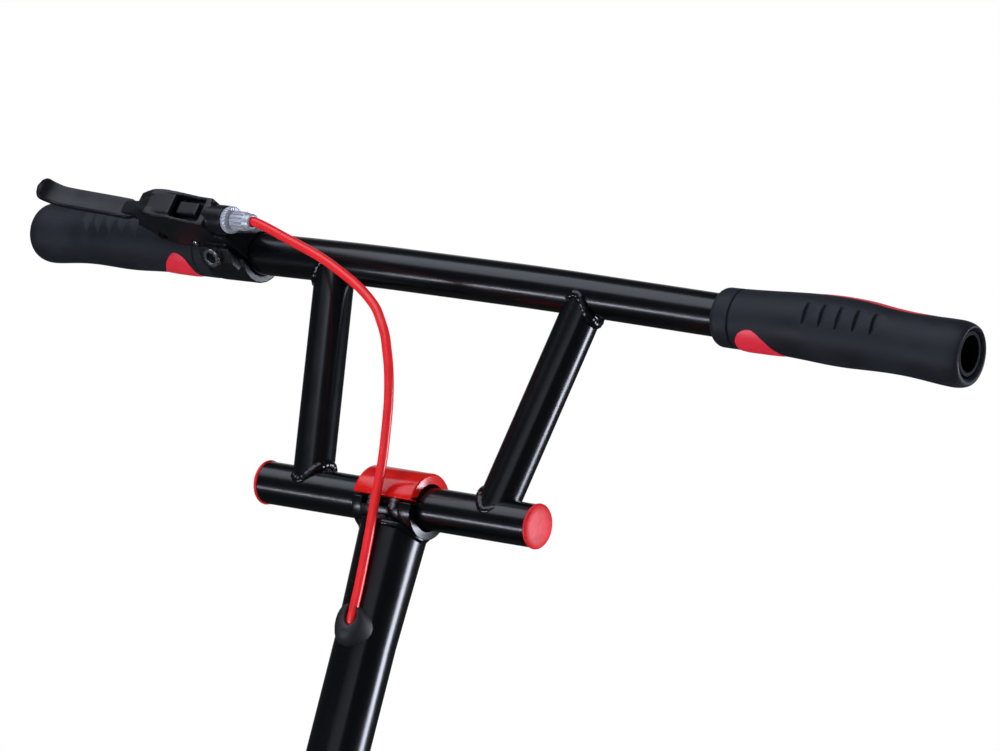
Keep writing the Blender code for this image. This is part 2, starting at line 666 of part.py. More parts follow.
def fork():
    steerer = rod(STEERER_RADIUS, CROWN_BOTTOM + CROWN_HEIGHT / 6, STEERER_TOP, 24)
    corner = CROWN_DEPTH / 2
    half = CROWN_WIDTH / 2 - corner
    outline = arc((half, 0), corner, -90, 90, 6) + arc((-half, 0), corner, 90, 270, 6)
    crown = prism(outline, CROWN_BOTTOM, CROWN_TOP)
    body = joined(crown, steerer)
    for sign in (1, -1):
        mirror = Vector((sign, 1, 1))
        leg = swept([LEG_TOP * mirror, LEG_FOOT * mirror], LEG_RADIUS, 16)
        x = [DROPOUT_INNER, DROPOUT_INNER + DROPOUT_PLATE]
        low, high = (x[0], x[1]) if sign > 0 else (-x[1], -x[0])
        outline = arc((-FORK_OFFSET, 0), DROPOUT_RADIUS, 180, 360, 6)
        outline += [(DROPOUT_RADIUS - FORK_OFFSET, DROPOUT_TOP),
                    (0.003 - DROPOUT_RADIUS - FORK_OFFSET, DROPOUT_TOP)]
        plate = prism(outline, low, high, "X")
        room = AXLE_RADIUS + FIT
        slot = block((low - PAST, -FORK_OFFSET - room, -DROPOUT_RADIUS - PAST),
                     (high + PAST, room - FORK_OFFSET, 0))
        hole = moved(rod(room, low - PAST, high + PAST, 16, "X"), (0, -FORK_OFFSET, 0))
        body = joined(body, leg, cut(plate, joined(slot, hole)))
    lean = (atan2(-PULL.y, PULL.z), 0, 0)
    foot = STOP - PULL * STOP_LENGTH
    tab = block((-STOP_HALF, -STOP_FRONT, 0), (STOP_INNER, STOP_BACK, STOP_LENGTH))
    seat = rod(CABLE_RADIUS + FIT, STOP_LENGTH / 4, STOP_LENGTH + PAST, 16)
    wire = rod(WIRE_RADIUS + FIT, -PAST, STOP_LENGTH, 12)
    port = swept(smooth_path(PORT_ROUTE, 0.007), CABLE_RADIUS + RUN, 12)
    bore = rod(STEERER_BORE, CROWN_TOP + 0.003, STEERER_TOP + PAST, 16)
    body = joined(body, moved(tab, foot, lean))
    return cut(body, bore, port, moved(seat, foot, lean), moved(wire, foot, lean))


solid("fork", fork(), BLACK_PAINT, STEERING)


# Headset: crown race, two cups, two ball rings, top cone and lock nut

HEAD_TOP = HEAD_BOTTOM + HEAD_LENGTH
CUP_MOUTH = HEAD_BOTTOM - FIT - CUP_HEIGHT
INNER_RACE = STEERER_RADIUS + FIT
BALL_INNER = HEAD_BORE - FIT - CUP_WALL
CONE_TOP = HEAD_BOTTOM + HEAD_TOP - CUP_MOUTH + RACE_HEIGHT - FIT


def cup():
    """Lower cup, pressed up into the head tube, open below for the ball ring."""
    rim = HEAD_BOTTOM - FIT
    mouth = rim - CUP_HEIGHT
    roof = mouth + BALL_RING_HEIGHT + 3 * FIT
    wall = RACE_RADIUS + 2 * FIT
    return turned([(BALL_INNER, roof), (wall, roof), (wall, mouth), (CUP_RADIUS, mouth),
                   (CUP_RADIUS, rim - CUP_EDGE), (HEAD_RADIUS, rim), (HEAD_BORE - FIT, rim),
                   (HEAD_BORE - FIT, rim + CUP_SKIRT), (BALL_INNER, rim + CUP_SKIRT)], 24)


def upside_down(mesh):
    """The same piece turned over about the middle of the head tube."""
    return moved(mesh, (0, 0, HEAD_BOTTOM + HEAD_TOP), (pi, 0, 0))


race = ring(INNER_RACE, RACE_RADIUS, CUP_MOUTH - RACE_HEIGHT + FIT, CUP_MOUTH + FIT, 24)
balls = ring(BALL_INNER, RACE_RADIUS, CUP_MOUTH + 2 * FIT, CUP_MOUTH + 2 * FIT + BALL_RING_HEIGHT, 24)
solid("headset_crown_race", race, STEEL, STEERING)
solid("headset_bearing_lower", balls, STEEL, STEERING)
solid("headset_cup_lower", cup(), BLACK_PAINT, STEERING)
solid("headset_top_cone", upside_down(race.copy()), STEEL, STEERING)
solid("headset_bearing_upper", upside_down(balls.copy()), STEEL, STEERING)
solid("headset_cup_upper", upside_down(cup()), BLACK_PAINT, STEERING)
lock_nut = nut(LOCK_NUT_RADIUS, INNER_RACE, CONE_TOP + FIT, CONE_TOP + FIT + LOCK_NUT_HEIGHT, "Z", 24)
solid("headset_lock_nut", lock_nut, BLACK_PAINT, STEERING)


# Column: tube over the steerer, a slot for its clamp, and the cradle for the crossbar on top

LIP_TOP = CAP_GAP - LIP_GAP
LIP_DEPTH = 0.0055
LIP_EDGE = 0.0010        # lips past the studs' collars
BORE_DROP = 0.0320       # top of the column's bore, below the crossbar's axis


def column_tube(gap):
    """Outside of the column, flared towards the cradle, grown by the gap. The crossbar's axis is
    along X through the origin."""
    low = COLUMN_BOTTOM - BAR_PIVOT
    flare = -TUBE_RADIUS - COLUMN_FLARE_LENGTH
    inner, outer = COLUMN_RADIUS + gap, COLUMN_FLARE_RADIUS + gap
    top = LIP_TOP - COLUMN_TOP_DROP
    return turned([(0, low), (inner, low), (inner, flare), (outer, top - 0.0025), (outer, top), (0, top)], 28)


def column():
    low = COLUMN_BOTTOM - BAR_PIVOT
    outer = TUBE_RADIUS + FIT + CRADLE_WALL
    reach = CLAMP_BOLT_REACH + CLAMP_COLLAR_RADIUS + LIP_EDGE
    under = LIP_TOP - LIP_DEPTH
    dip = degrees(asin(-under / outer))
    outline = [(-reach, LIP_TOP), (-reach, under), *arc((0, 0), outer, 180 + dip, 360 - dip, 8),
               (reach, under), (reach, LIP_TOP)]
    body = joined(column_tube(0), prism(outline, -CRADLE_HALF, CRADLE_HALF, "X"))
    seat = rod(TUBE_RADIUS + FIT, -CRADLE_HALF - PAST, CRADLE_HALF + PAST, 28, "X")
    bore = rod(STEERER_RADIUS + FIT, low - PAST, -BORE_DROP, 24)
    slot = block((-COLUMN_SLOT / 2, 0, low - PAST),
                 (COLUMN_SLOT / 2, COLUMN_RADIUS + PAST, low + COLUMN_SLOT_LENGTH))
    port = rod(GROMMET_NECK + FIT, 0, 2 * COLUMN_RADIUS, 18, "Y")
    port = moved(port, (0, -2 * COLUMN_RADIUS, -GROMMET_DROP))
    way = moved(swept(cable_line(LOWER_ROUTE, HOUSING_STEP)[:5], CABLE_RADIUS + FIT, 12), (0, 0, -BAR_PIVOT))
    hole = rod(CLAMP_BOLT_RADIUS + FIT, CLAMP_BOLT_FOOT - FIT, PAST, 10)
    holes = [moved(hole.copy(), place) for place in CLAMP_BOLTS]
    return cut(body, seat, bore, slot, port, way, *holes)


CLAMP_BOLTS = [Vector((x * CLAMP_BOLT_SPACING / 2, y * CLAMP_BOLT_REACH, 0))
               for y in (-1, 1) for x in (-1, 1)]
solid("column", column(), BLACK_PAINT, STEERING, (0, 0, BAR_PIVOT))


# Clamp cap over the crossbar, on four studs whose collars show between its lips and the cradle's

def cap():
    centre = CAP_TOP - CAP_RADIUS
    dip = 180 / pi * asin((CAP_GAP - centre) / CAP_RADIUS)
    inner = 180 / pi * asin(CAP_GAP / (TUBE_RADIUS + FIT))
    outline = arc((0, centre), CAP_RADIUS, dip, 180 - dip, 12)
    outline += arc((0, 0), TUBE_RADIUS + FIT, 180 - inner, inner, 12)
    hole = rod(CLAMP_BOLT_RADIUS + FIT, -PAST, CLAMP_BOLT_TOP + FIT, 10)
    holes = [moved(hole.copy(), place) for place in CLAMP_BOLTS]
    return cut(prism(outline, -CRADLE_HALF, CRADLE_HALF, "X"), *holes)


solid("clamp_cap", cap(), RED_PAINT, STEERING, (0, 0, BAR_PIVOT))
for place, name in zip(CLAMP_BOLTS, ("front_right", "front_left", "rear_right", "rear_left")):
    low, high = LIP_TOP + FIT, CAP_GAP - FIT
    shape = turned([(0, CLAMP_BOLT_FOOT), (CLAMP_BOLT_RADIUS, CLAMP_BOLT_FOOT), (CLAMP_BOLT_RADIUS, low),
                    (CLAMP_COLLAR_RADIUS, low), (CLAMP_COLLAR_RADIUS, high), (CLAMP_BOLT_RADIUS, high),
                    (CLAMP_BOLT_RADIUS, CLAMP_BOLT_TOP), (0, CLAMP_BOLT_TOP)], 10)
    solid("clamp_bolt_" + name, shape, STEEL, STEERING, place + Vector((0, 0, BAR_PIVOT)))


# Collar that clamps the slotted end of the column on the steerer

def collar():
    """Open ring with two ears behind it, drawn in one outline, and bored for two bolts."""
    inner = COLUMN_RADIUS + FIT
    outer = inner + COLLAR_WALL
    side = degrees(acos(COLLAR_EAR_HALF / outer))
    edge = degrees(acos(COLLAR_SLIT / 2 / inner))
    ends = outer + COLLAR_EAR
    outline = [(COLLAR_SLIT / 2, ends), (COLLAR_EAR_HALF, ends), *arc((0, 0), outer, side, -180 - side, 22),
               (-COLLAR_EAR_HALF, ends), (-COLLAR_SLIT / 2, ends), *arc((0, 0), inner, -180 - edge, edge, 24)]
    reach = COLLAR_EAR_HALF + PAST
    holes = [moved(rod(COLLAR_BOLT_RADIUS + FIT, -reach, reach, 12, "X"), place) for place in COLLAR_BOLTS]
    return cut(prism(outline, 0, COLLAR_HEIGHT), *holes)


COLLAR_BOTTOM = COLUMN_BOTTOM + COLLAR_LIFT
bolt_line = COLUMN_RADIUS + FIT + COLLAR_WALL + COLLAR_BOLT_REACH
COLLAR_BOLTS = [Vector((0, bolt_line, (COLLAR_HEIGHT + k * COLLAR_BOLT_SPACING) / 2)) for k in (-1, 1)]
solid("column_collar", collar(), BLACK_PAINT, STEERING, (0, 0, COLLAR_BOTTOM))
for place, name in zip(COLLAR_BOLTS, ("lower", "upper")):
    low, high = COLLAR_BOLT_ENDS
    seat = COLLAR_EAR_HALF + FIT
    shape = turned([(0, low), (COLLAR_BOLT_RADIUS, low), (COLLAR_BOLT_RADIUS, seat), (COLLAR_BOLT_HEAD, seat),
                    (COLLAR_BOLT_HEAD, high), (0, high)], 12, "X")
    solid("collar_bolt_" + name, shape, STEEL, STEERING, place + Vector((0, 0, COLLAR_BOTTOM)))


# Handlebar: top bar, two uprights and the crossbar, welded in one piece and hollow throughout

def handlebar():
    stations = [BEND_START + BEND_RADIUS * BEND_ANGLE * k / 4 for k in range(5)] + [BAR_HALF]
    stations = [-x for x in reversed(stations)] + stations
    top = [bar_point(x) for x in stations]
    uprights = [[(side * UPRIGHT_FOOT, 0, 0), bar_point(side * UPRIGHT_TOP)] for side in (-1, 1)]
    bore = TUBE_RADIUS - TUBE_WALL
    wider = [top[0] + (top[0] - top[1]) * 0.02] + top[1:-1] + [top[-1] + (top[-1] - top[-2]) * 0.02]
    body = joined(swept(top, TUBE_RADIUS, 18), rod(TUBE_RADIUS, -CROSSBAR_HALF, CROSSBAR_HALF, 20, "X"),
                  *[swept(path, TUBE_RADIUS - UPRIGHT_SLACK, 18) for path in uprights])
    reach = CROSSBAR_HALF + PAST
    hollow = joined(swept(wider, bore, 10), rod(bore, -reach, reach, 18, "X"),
                    *[swept(path, bore - UPRIGHT_SLACK, 10) for path in uprights])
    return cut(body, hollow)


solid("handlebar", handlebar(), BLACK_PAINT, HANDLEBAR)
for side, name in ((-1, "right"), (1, "left")):
    plug_radius = TUBE_RADIUS - TUBE_WALL - FIT
    rim = TUBE_RADIUS + PLUG_PROUD
    shape = turned([(0, -PLUG_DEPTH), (plug_radius, -PLUG_DEPTH), (plug_radius, FIT), (rim, FIT),
                    (rim, PLUG_ROUND), (rim - PLUG_ROUND, PLUG_FLANGE), (0, PLUG_FLANGE + PLUG_ROUND / 2)],
                   18, "X")
    turn = 0 if side > 0 else pi
    solid("end_plug_" + name, shape, RED_PLASTIC, HANDLEBAR, (side * CROSSBAR_HALF, 0, 0), (0, 0, turn))


# Grips: a rounded shoulder, a palm swell, and a rounded end with the bar's hole in it. The shape is
# the distance from the inner end and the radius there, and then the same from the outer end.

GRIP_SHAPE = [(0, 0.0135), (0.0040, 0.0152), (0.0290, 0.0157), (0.0460, 0.0164), (0.0600, 0.0172),
              (0.0760, 0.0174), (0.0980, 0.0160), (0.1120, 0.0155)]
GRIP_BULB = [(0.0120, 0.0163), (0.0040, 0.0158), (0, 0.0136)]


def grip(start):
    """Turned about the bar, along X from its flange, to just past the bar's end."""
    bar_end = BAR_HALF - start
    end = bar_end + GRIP_OVERHANG
    seat = TUBE_RADIUS + FIT
    outline = [(seat, 0), *[(r, x) for x, r in GRIP_SHAPE], *[(r, end - x) for x, r in GRIP_BULB],
               (GRIP_END_HOLE, end), (GRIP_END_HOLE, bar_end + FIT), (seat, bar_end + FIT)]
    return turned(outline, 20, "X")


solid("grip_left", grip(GRIP_START), BLACK_RUBBER, bar_frame("left_grip_mount", GRIP_START))
right_mount = bar_frame("right_grip_mount", -LEVER_GRIP_START)
solid("grip_right", grip(LEVER_GRIP_START), BLACK_RUBBER, right_mount, (0, 0, 0), (0, 0, pi))


# Lever bracket: ring around the bar with a clamp ear, hood with a slot, and the boss for the cable

def bracket():
    half = BRACKET_HEIGHT / 2
    ring_outer = TUBE_RADIUS + BRACKET_WALL
    body = rod(ring_outer, RING_OUTER_X, RING_INNER_X, 24, "X")
    hood = prism(HOOD_PLAN, -half, half)
    boss = moved(rod(BOSS_RADIUS, 0, BOSS_END, 18, "X"), (0, -CABLE_REACH, 0))
    gap_top = -half - EAR_GAP
    ear = block((BRACKET_BOLT_X - EAR_HALF, EAR_FRONT, EAR_BOTTOM),
                (BRACKET_BOLT_X + EAR_HALF, HOOD_BACK, gap_top + PAST))
    slit = block((RING_OUTER_X - PAST, EAR_FRONT - PAST, gap_top),
                 (RING_INNER_X + PAST, HOOD_BACK + PAST, -half - FIT))
    slot = block((-0.0600, -0.0600, -BRACKET_SLOT / 2), (SLOT_END, SLOT_BACK, BRACKET_SLOT / 2))
    bar = rod(TUBE_RADIUS + FIT, -0.05, 0.05, 24, "X")
    line = (0, -CABLE_REACH, 0)
    thread = moved(rod(BARREL_THREAD + FIT, BOSS_END - BARREL_INSET - FIT, BOSS_END + PAST, 16, "X"), line)
    wire = moved(rod(WIRE_RADIUS + 2 * FIT, SLOT_END - PAST, BOSS_END, 10, "X"), line)
    pin = moved(rod(PIVOT_RADIUS + FIT, -half - PAST, half + PAST, 14), (PIVOT_X, -PIVOT_REACH, 0))
    place = (BRACKET_BOLT_X, -BRACKET_BOLT_REACH, 0)
    bolt = moved(rod(BRACKET_BOLT_RADIUS + FIT, EAR_BOTTOM - PAST, BRACKET_BOLT_TOP + 2 * FIT, 12), place)
    screw = moved(rod(SET_SCREW_RADIUS + FIT, -half - PAST, PAST - BRACKET_SLOT / 2, 12), SET_SCREW)
    whole = joined(body, hood, boss)
    whole = joined(cut(whole, slit), ear)
    return cut(whole, bar, slot, thread, wire, pin, bolt, screw)


SET_SCREW = Vector((-0.0095, -0.0206, 0))
HOOD_BACK = -0.0080
HOOD_PLAN = [(RING_INNER_X, HOOD_BACK), (RING_OUTER_X, HOOD_BACK), (RING_OUTER_X, -0.0172),
             (-0.0300, -0.0172), (-0.0405, -0.0195), (-0.0475, -0.0290), (-0.0490, -0.0360),
             (-0.0470, -0.0430), (-0.0400, -0.0468), (-0.0280, -0.0480), (-0.0120, -0.0462),
             (0.0010, -0.0432), (BOSS_END - PAST, -0.0410), (BOSS_END - PAST, -0.0285),
             (RING_INNER_X, -0.0240)]
SLOT_END = -0.0040      # the lever's slot, towards the boss and towards the bar
SLOT_BACK = -0.0140
EAR_BOTTOM = -0.0160    # the clamp's ear: its lower face, front, half width, and the gap over it
EAR_FRONT = -0.0222
EAR_HALF = 0.0080
EAR_GAP = 0.0015
solid("lever_bracket", bracket(), BLACK_PAINT, LEVER)
half = BRACKET_HEIGHT / 2
pin = rod(PIVOT_RADIUS, -half - PIN_PROUD, half + PIN_PROUD, 12)
solid("lever_pivot_pin", pin, STEEL, LEVER, (PIVOT_X, -PIVOT_REACH, 0))
low = EAR_BOTTOM - FIT
under = low - BRACKET_HEAD_HEIGHT
bolt = turned([(0, under), (BRACKET_HEAD_RADIUS, under), (BRACKET_HEAD_RADIUS, low),
               (BRACKET_BOLT_RADIUS, low), (BRACKET_BOLT_RADIUS, BRACKET_BOLT_TOP), (0, BRACKET_BOLT_TOP)], 12)
solid("bracket_clamp_bolt", bolt, STEEL, LEVER, (BRACKET_BOLT_X, -BRACKET_BOLT_REACH, 0))
screw = rod(SET_SCREW_RADIUS, -half - SET_SCREW_PROUD, -BRACKET_SLOT / 2, 10)
solid("bracket_set_screw", screw, STEEL, LEVER, SET_SCREW)


# Lever blade on its pin: a root in the bracket's slot, and a finger blade that flares at the tip

def blade():
    """In the pivot's frame. The finger blade is a strip of even thickness along its own line."""
    anchor = Vector((0, PIVOT_REACH - CABLE_REACH))
    root = arc((0, 0), 0.0060, -15, 180, 10) + [(-0.0080, -0.0045), (-0.0160, -0.0095), (-0.0240, -0.0105),
            (-0.0240, -0.0142), (-0.0120, -0.0158)] + arc(anchor, 0.0056, -110, -10, 5)
    body = prism(root, -BLADE_ROOT / 2, BLADE_ROOT / 2)
    line = [Vector(p) for p in ((-0.0185, -0.0120), (-0.0300, -0.0137), (-0.0480, -0.0160),
                                (-0.0630, -0.0180), (-0.0710, -0.0200), (-0.0760, -0.0237),
                                (-0.0795, -0.0285))]
    across = []
    for a, b, c in zip([line[0]] + line, line, line[1:] + [line[-1]]):
        run = (c - a).normalized()
        across.append(Vector((-run.y, run.x)) * BLADE_THICK / 2)
    outline = [p + n for p, n in zip(line, across)] + [p - n for p, n in reversed(list(zip(line, across)))]
    finger = prism([tuple(p) for p in outline], -BLADE_HEIGHT / 2, BLADE_HEIGHT / 2)
    pin = rod(PIVOT_RADIUS + FIT, -BLADE_HEIGHT, BLADE_HEIGHT, 14)
    nipple = moved(rod(NIPPLE_RADIUS + FIT, -BLADE_HEIGHT, BLADE_HEIGHT, 14), (*anchor, 0))
    room = WIRE_RADIUS + 2 * FIT
    way = block((0, anchor.y - room, -room), (2 * BLADE_HEIGHT, anchor.y + room, 2 * BLADE_HEIGHT))
    return cut(joined(body, finger), pin, nipple, way)


solid("lever_blade", blade(), BLACK_PAINT, BLADE)
nipple_place = (0, PIVOT_REACH - CABLE_REACH, 0)
solid("cable_nipple", rod(NIPPLE_RADIUS, -BLADE_ROOT / 2, BLADE_ROOT / 2, 12), STEEL, BLADE, nipple_place)


# Barrel adjuster and its lock ring, on the bracket's boss

SEAT_DEPTH = 0.0092
ring_end = LOCK_RING_HEIGHT + 2 * FIT
barrel_end = ring_end + BARREL_LENGTH
wire_bore, seat, seat_end = WIRE_RADIUS + 2 * FIT, CABLE_RADIUS + FIT, barrel_end - SEAT_DEPTH
barrel = turned([(wire_bore, -BARREL_INSET), (BARREL_THREAD, -BARREL_INSET), (BARREL_THREAD, ring_end),
                 (BARREL_RADIUS, ring_end), (BARREL_RADIUS, barrel_end), (seat, barrel_end), (seat, seat_end),
                 (wire_bore, seat_end)], 16, "X")
solid("barrel_adjuster", barrel, ALUMINIUM, BARREL)
lock_ring = ring(BARREL_THREAD + FIT, LOCK_RING_RADIUS, FIT, FIT + LOCK_RING_HEIGHT, 16, "X")
solid("adjuster_lock_ring", lock_ring, ALUMINIUM, BARREL)


# Brake cable: bare wire at both ends, housing from the lever to the grommet and on inside the column

def cable(name, points, step, radius, paint, parent):
    """Round cable as a curve along cable_line."""
    places = cable_line(points, step)
    curve = bpy.data.curves.new(name, "CURVE")
    curve.dimensions = "3D"
    curve.bevel_depth = radius
    curve.bevel_resolution = 2
    curve.use_fill_caps = True
    spline = curve.splines.new("POLY")
    spline.points.add(len(places) - 1)
    for point, place in zip(spline.points, places):
        point.co = (*place, 1)
    made = bpy.data.objects.new(name, curve)
    bpy.context.scene.collection.objects.link(made)
    curve.materials.append(paint)
    made.parent = parent
    return made


bpy.context.view_layer.update()
TO_BAR = HANDLEBAR.matrix_world.inverted() @ LEVER.matrix_world
housing_start = BOSS_END + barrel_end - SEAT_DEPTH + FIT
UPPER_ROUTE = [
    tuple(TO_BAR @ Vector((housing_start, -CABLE_REACH, 0))),
    tuple(TO_BAR @ Vector((housing_start + SEAT_DEPTH + 0.0020, -CABLE_REACH, 0))),
    (-0.0893, -0.0310, 0.1228), (-0.0638, -0.0330, 0.1152), (-0.0449, -0.0345, 0.1077),
    (-0.0308, -0.0355, 0.1010), (-0.0196, -0.0360, 0.0935), (-0.0137, -0.0360, 0.0868),
    (-0.0089, -0.0355, 0.0795), (-0.0056, -0.0350, 0.0720), (-0.0028, -0.0343, 0.0646),
    (-0.0007, -0.0335, 0.0571), (0.0004, -0.0320, 0.0497), (0.0009, -0.0303, 0.0423),
    (0.0010, -0.0267, 0.0273), (0.0005, -0.0236, 0.0143), (0.0011, -0.0223, -0.0069),
    (0.0016, -0.0212, -0.0198), (0.0022, -0.0203, -0.0376),
    tuple(MEET - STRAIGHT * MEET_RUN - Vector((0, 0, BAR_PIVOT))), tuple(MEET - Vector((0, 0, BAR_PIVOT))),
]
cable("cable_housing_upper", UPPER_ROUTE, 0.0105, CABLE_RADIUS, RED_PLASTIC, HANDLEBAR)
cable("cable_housing_lower", LOWER_ROUTE, HOUSING_STEP, CABLE_RADIUS, RED_PLASTIC, STEERING)
wire_start = PIVOT_X + NIPPLE_RADIUS + 2 * FIT
stations = (wire_start, wire_start + 0.02, housing_start - 0.02, housing_start - FIT)
wire_upper = [(x, -CABLE_REACH, 0) for x in stations]
cable("brake_wire_upper", wire_upper, 0.0100, WIRE_RADIUS, STEEL, LEVER)
wire_lower = [STOP - FIT * PULL, STOP - 0.3 * STOP_REACH * PULL, STOP - 0.7 * STOP_REACH * PULL,
              ARM_END + WIRE_END * PULL]
cable("brake_wire_lower", wire_lower, 0.0100, WIRE_RADIUS, STEEL, STEERING)


# Rubber grommet where the housing enters the column

def grommet():
    """Flange and dome outside the column, neck in its wall, bored along the cable's route."""
    face = COLUMN_RADIUS
    rise = GROMMET_DOME - GROMMET_FLANGE
    dome = [(GROMMET_RADIUS * cos(a), face + GROMMET_FLANGE + rise * sin(a))
            for a in map(radians, (0, 35, 65))]
    outline = [(0, face - 0.0036), (GROMMET_RADIUS, face - 0.0036), *dome, (0, face + GROMMET_DOME)]
    body = turned(outline, 18)
    body = moved(body, (0, 0, BAR_PIVOT - GROMMET_DROP), (pi / 2, 0, 0))
    wall = moved(column_tube(FIT), (0, 0, BAR_PIVOT))
    neck = moved(rod(GROMMET_NECK, 0, face, 18, "Y"), (0, -face, BAR_PIVOT - GROMMET_DROP))
    bore = rod(STEERER_RADIUS, BAR_PIVOT - 2 * GROMMET_DROP, BAR_PIVOT - BORE_DROP - 0.008, 24)
    body = joined(cut(body, wall), neck)
    way = swept(cable_line(LOWER_ROUTE, HOUSING_STEP)[:5], CABLE_RADIUS + FIT, 12)
    return cut(body, bore, way)


solid("cable_grommet", grommet(), BLACK_RUBBER, STEERING)


# Drum brake on the left of the front wheel: backing plate, two shoes, and the cam with its arm

CAM_ANGLE = degrees(atan2(CAM_Z, CAM_Y + FORK_OFFSET))      # about the axle, from +Y towards +Z
CAM_REACH = hypot(CAM_Z, CAM_Y + FORK_OFFSET)
ANCHOR_ANGLE = CAM_ANGLE - 180
SHOE_INNER_X = DRUM_INNER_X + DRUM_WALL + SHOE_GAP
SHOE_OUTER_X = SHOE_INNER_X + SHOE_DEPTH
SHOE_RADIUS = DRUM_RADIUS - DRUM_WALL - LINING_GAP


def around(angle, radius):
    """Point in the wheel's plane, (y, z) from the axle."""
    return (radius * cos(radians(angle)), radius * sin(radians(angle)))


def brake_plate():
    """Sleeve on the axle, disc beside the drum, two lugs around the fork's left leg, anchor pin."""
    bore = AXLE_RADIUS + FIT
    end = HUB_END_FRONT + 2 * FIT
    disc = turned([(bore, end), (AXLE_COLLAR, end), (AXLE_COLLAR, PLATE_INNER_X),
                   (PLATE_RADIUS, PLATE_INNER_X), (PLATE_RADIUS, PLATE_OUTER_X), (PLATE_BOSS, PLATE_OUTER_X),
                   (PLATE_BOSS, DROPOUT_INNER - FIT), (bore, DROPOUT_INNER - FIT)], 24, "X")
    leg_y = LUG_LINE
    near, far = LEG_RADIUS + FIT - 0.0001, LEG_RADIUS + LUG_THICK + 0.0002
    top = LUG_LOW + LUG_HEIGHT
    lugs = [block((PLATE_INNER_X + PAST, leg_y + low, LUG_LOW), (LUG_REACH, leg_y + high, top))
            for low, high in ((-far, -near), (near, far))]
    inside = PLATE_INNER_X + PAST
    anchor = moved(rod(ANCHOR_RADIUS, SHOE_INNER_X, inside, 12, "X"), (0, *around(ANCHOR_ANGLE, CAM_REACH)))
    hole = moved(rod(CAM_RADIUS, 0, 2 * PLATE_INNER_X, 14, "X"), (0, *around(CAM_ANGLE, CAM_REACH)))
    return cut(joined(disc, *lugs, anchor), hole)


def shoe(side):
    """One half ring with its lining, around its side of the drum, seated on the anchor pin."""
    first, last = ANCHOR_ANGLE + side * SHOE_CUT, ANCHOR_ANGLE + side * (180 - SHOE_CUT)
    inner = SHOE_RADIUS - SHOE_WALL
    outline = arc((0, 0), SHOE_RADIUS, first, last, 14) + arc((0, 0), inner, last, first, 10)
    y, z = around(ANCHOR_ANGLE, CAM_REACH)
    seat = moved(rod(ANCHOR_RADIUS + FIT, 0, 2 * SHOE_OUTER_X, 14, "X"), (0, y, z))
    body = cut(prism(outline, SHOE_INNER_X, SHOE_OUTER_X, "X"), seat)
    return moved(body, (0, -y, -z))


def cam_arm():
    """Cam block between the shoes, its shaft through the plate, and the arm with the wire's barrel."""
    lie = atan2(CAM_Z, CAM_Y + FORK_OFFSET)
    y, z = CAM_HALF
    cam = prism([(-y, -z), (y, -z), (y, z), (-y, z)], SHOE_INNER_X, SHOE_OUTER_X, "X")
    cam = moved(cam, (0, 0, 0), (lie, 0, 0))
    shaft = rod(CAM_RADIUS - FIT, SHOE_OUTER_X - PAST, ARM_X + ARM_THICK / 2 + CAM_STUB, 14, "X")
    tip = ARM_LENGTH
    outline = arc((0, 0), ARM_WIDTH / 2, 90, 270, 6) + arc((tip, 0), ARM_WIDTH * 0.42, -90, 90, 6)
    arm = prism(outline, ARM_X - ARM_THICK / 2, ARM_X + ARM_THICK / 2, "X")
    barrel = rod(WIRE_BARREL_RADIUS, ARM_X - WIRE_BARREL_HALF, ARM_X + WIRE_BARREL_HALF, 14, "X")
    way = moved(rod(WIRE_RADIUS + FIT, -ARM_WIDTH, WIRE_END / 2, 12), (ARM_X, tip, 0))
    arm = cut(joined(arm, moved(barrel, (0, tip, 0))), way)
    arm = moved(arm, (0, 0, 0), (atan2(ARM_LIE.z, ARM_LIE.y), 0, 0))
    return joined(cam, shaft, arm)


anchor_place = (0, *around(ANCHOR_ANGLE, CAM_REACH))
solid("brake_plate", brake_plate(), ALUMINIUM, FRONT_AXLE)
solid("brake_cam_arm", cam_arm(), STEEL, empty("cam_axis", STEERING, CAM))
for side, name in ((1, "rear"), (-1, "front")):
    solid("brake_shoe_" + name, shoe(side), ALUMINIUM, empty(f"{name}_shoe_axis", FRONT_AXLE, anchor_place))


# Frame: head tube, down tube, two rails out to the rear dropouts, cross tubes and the stand's sleeve

def behind(along_axis, back):
    """Point in the middle plane, at a distance along the steering axis and another behind it."""
    up, rear = Vector((0, sin(LEAN), cos(LEAN))), Vector((0, cos(LEAN), -sin(LEAN)))
    return AXIS_FOOT + along_axis * up + back * rear


CROSS_PLACES = (DECK_FRONT + 0.0250, DECK_FRONT + 0.0800, STAND_Y, DECK_REAR - 0.0280)
DECK_LOW = RAIL_HEIGHT + RAIL_RADIUS + FIT
DECK_HIGH = DECK_LOW + DECK_THICK
SCREW_FOOT = RAIL_HEIGHT - 0.002
SCREW_PLACES = (CROSS_PLACES[1], CROSS_PLACES[3])


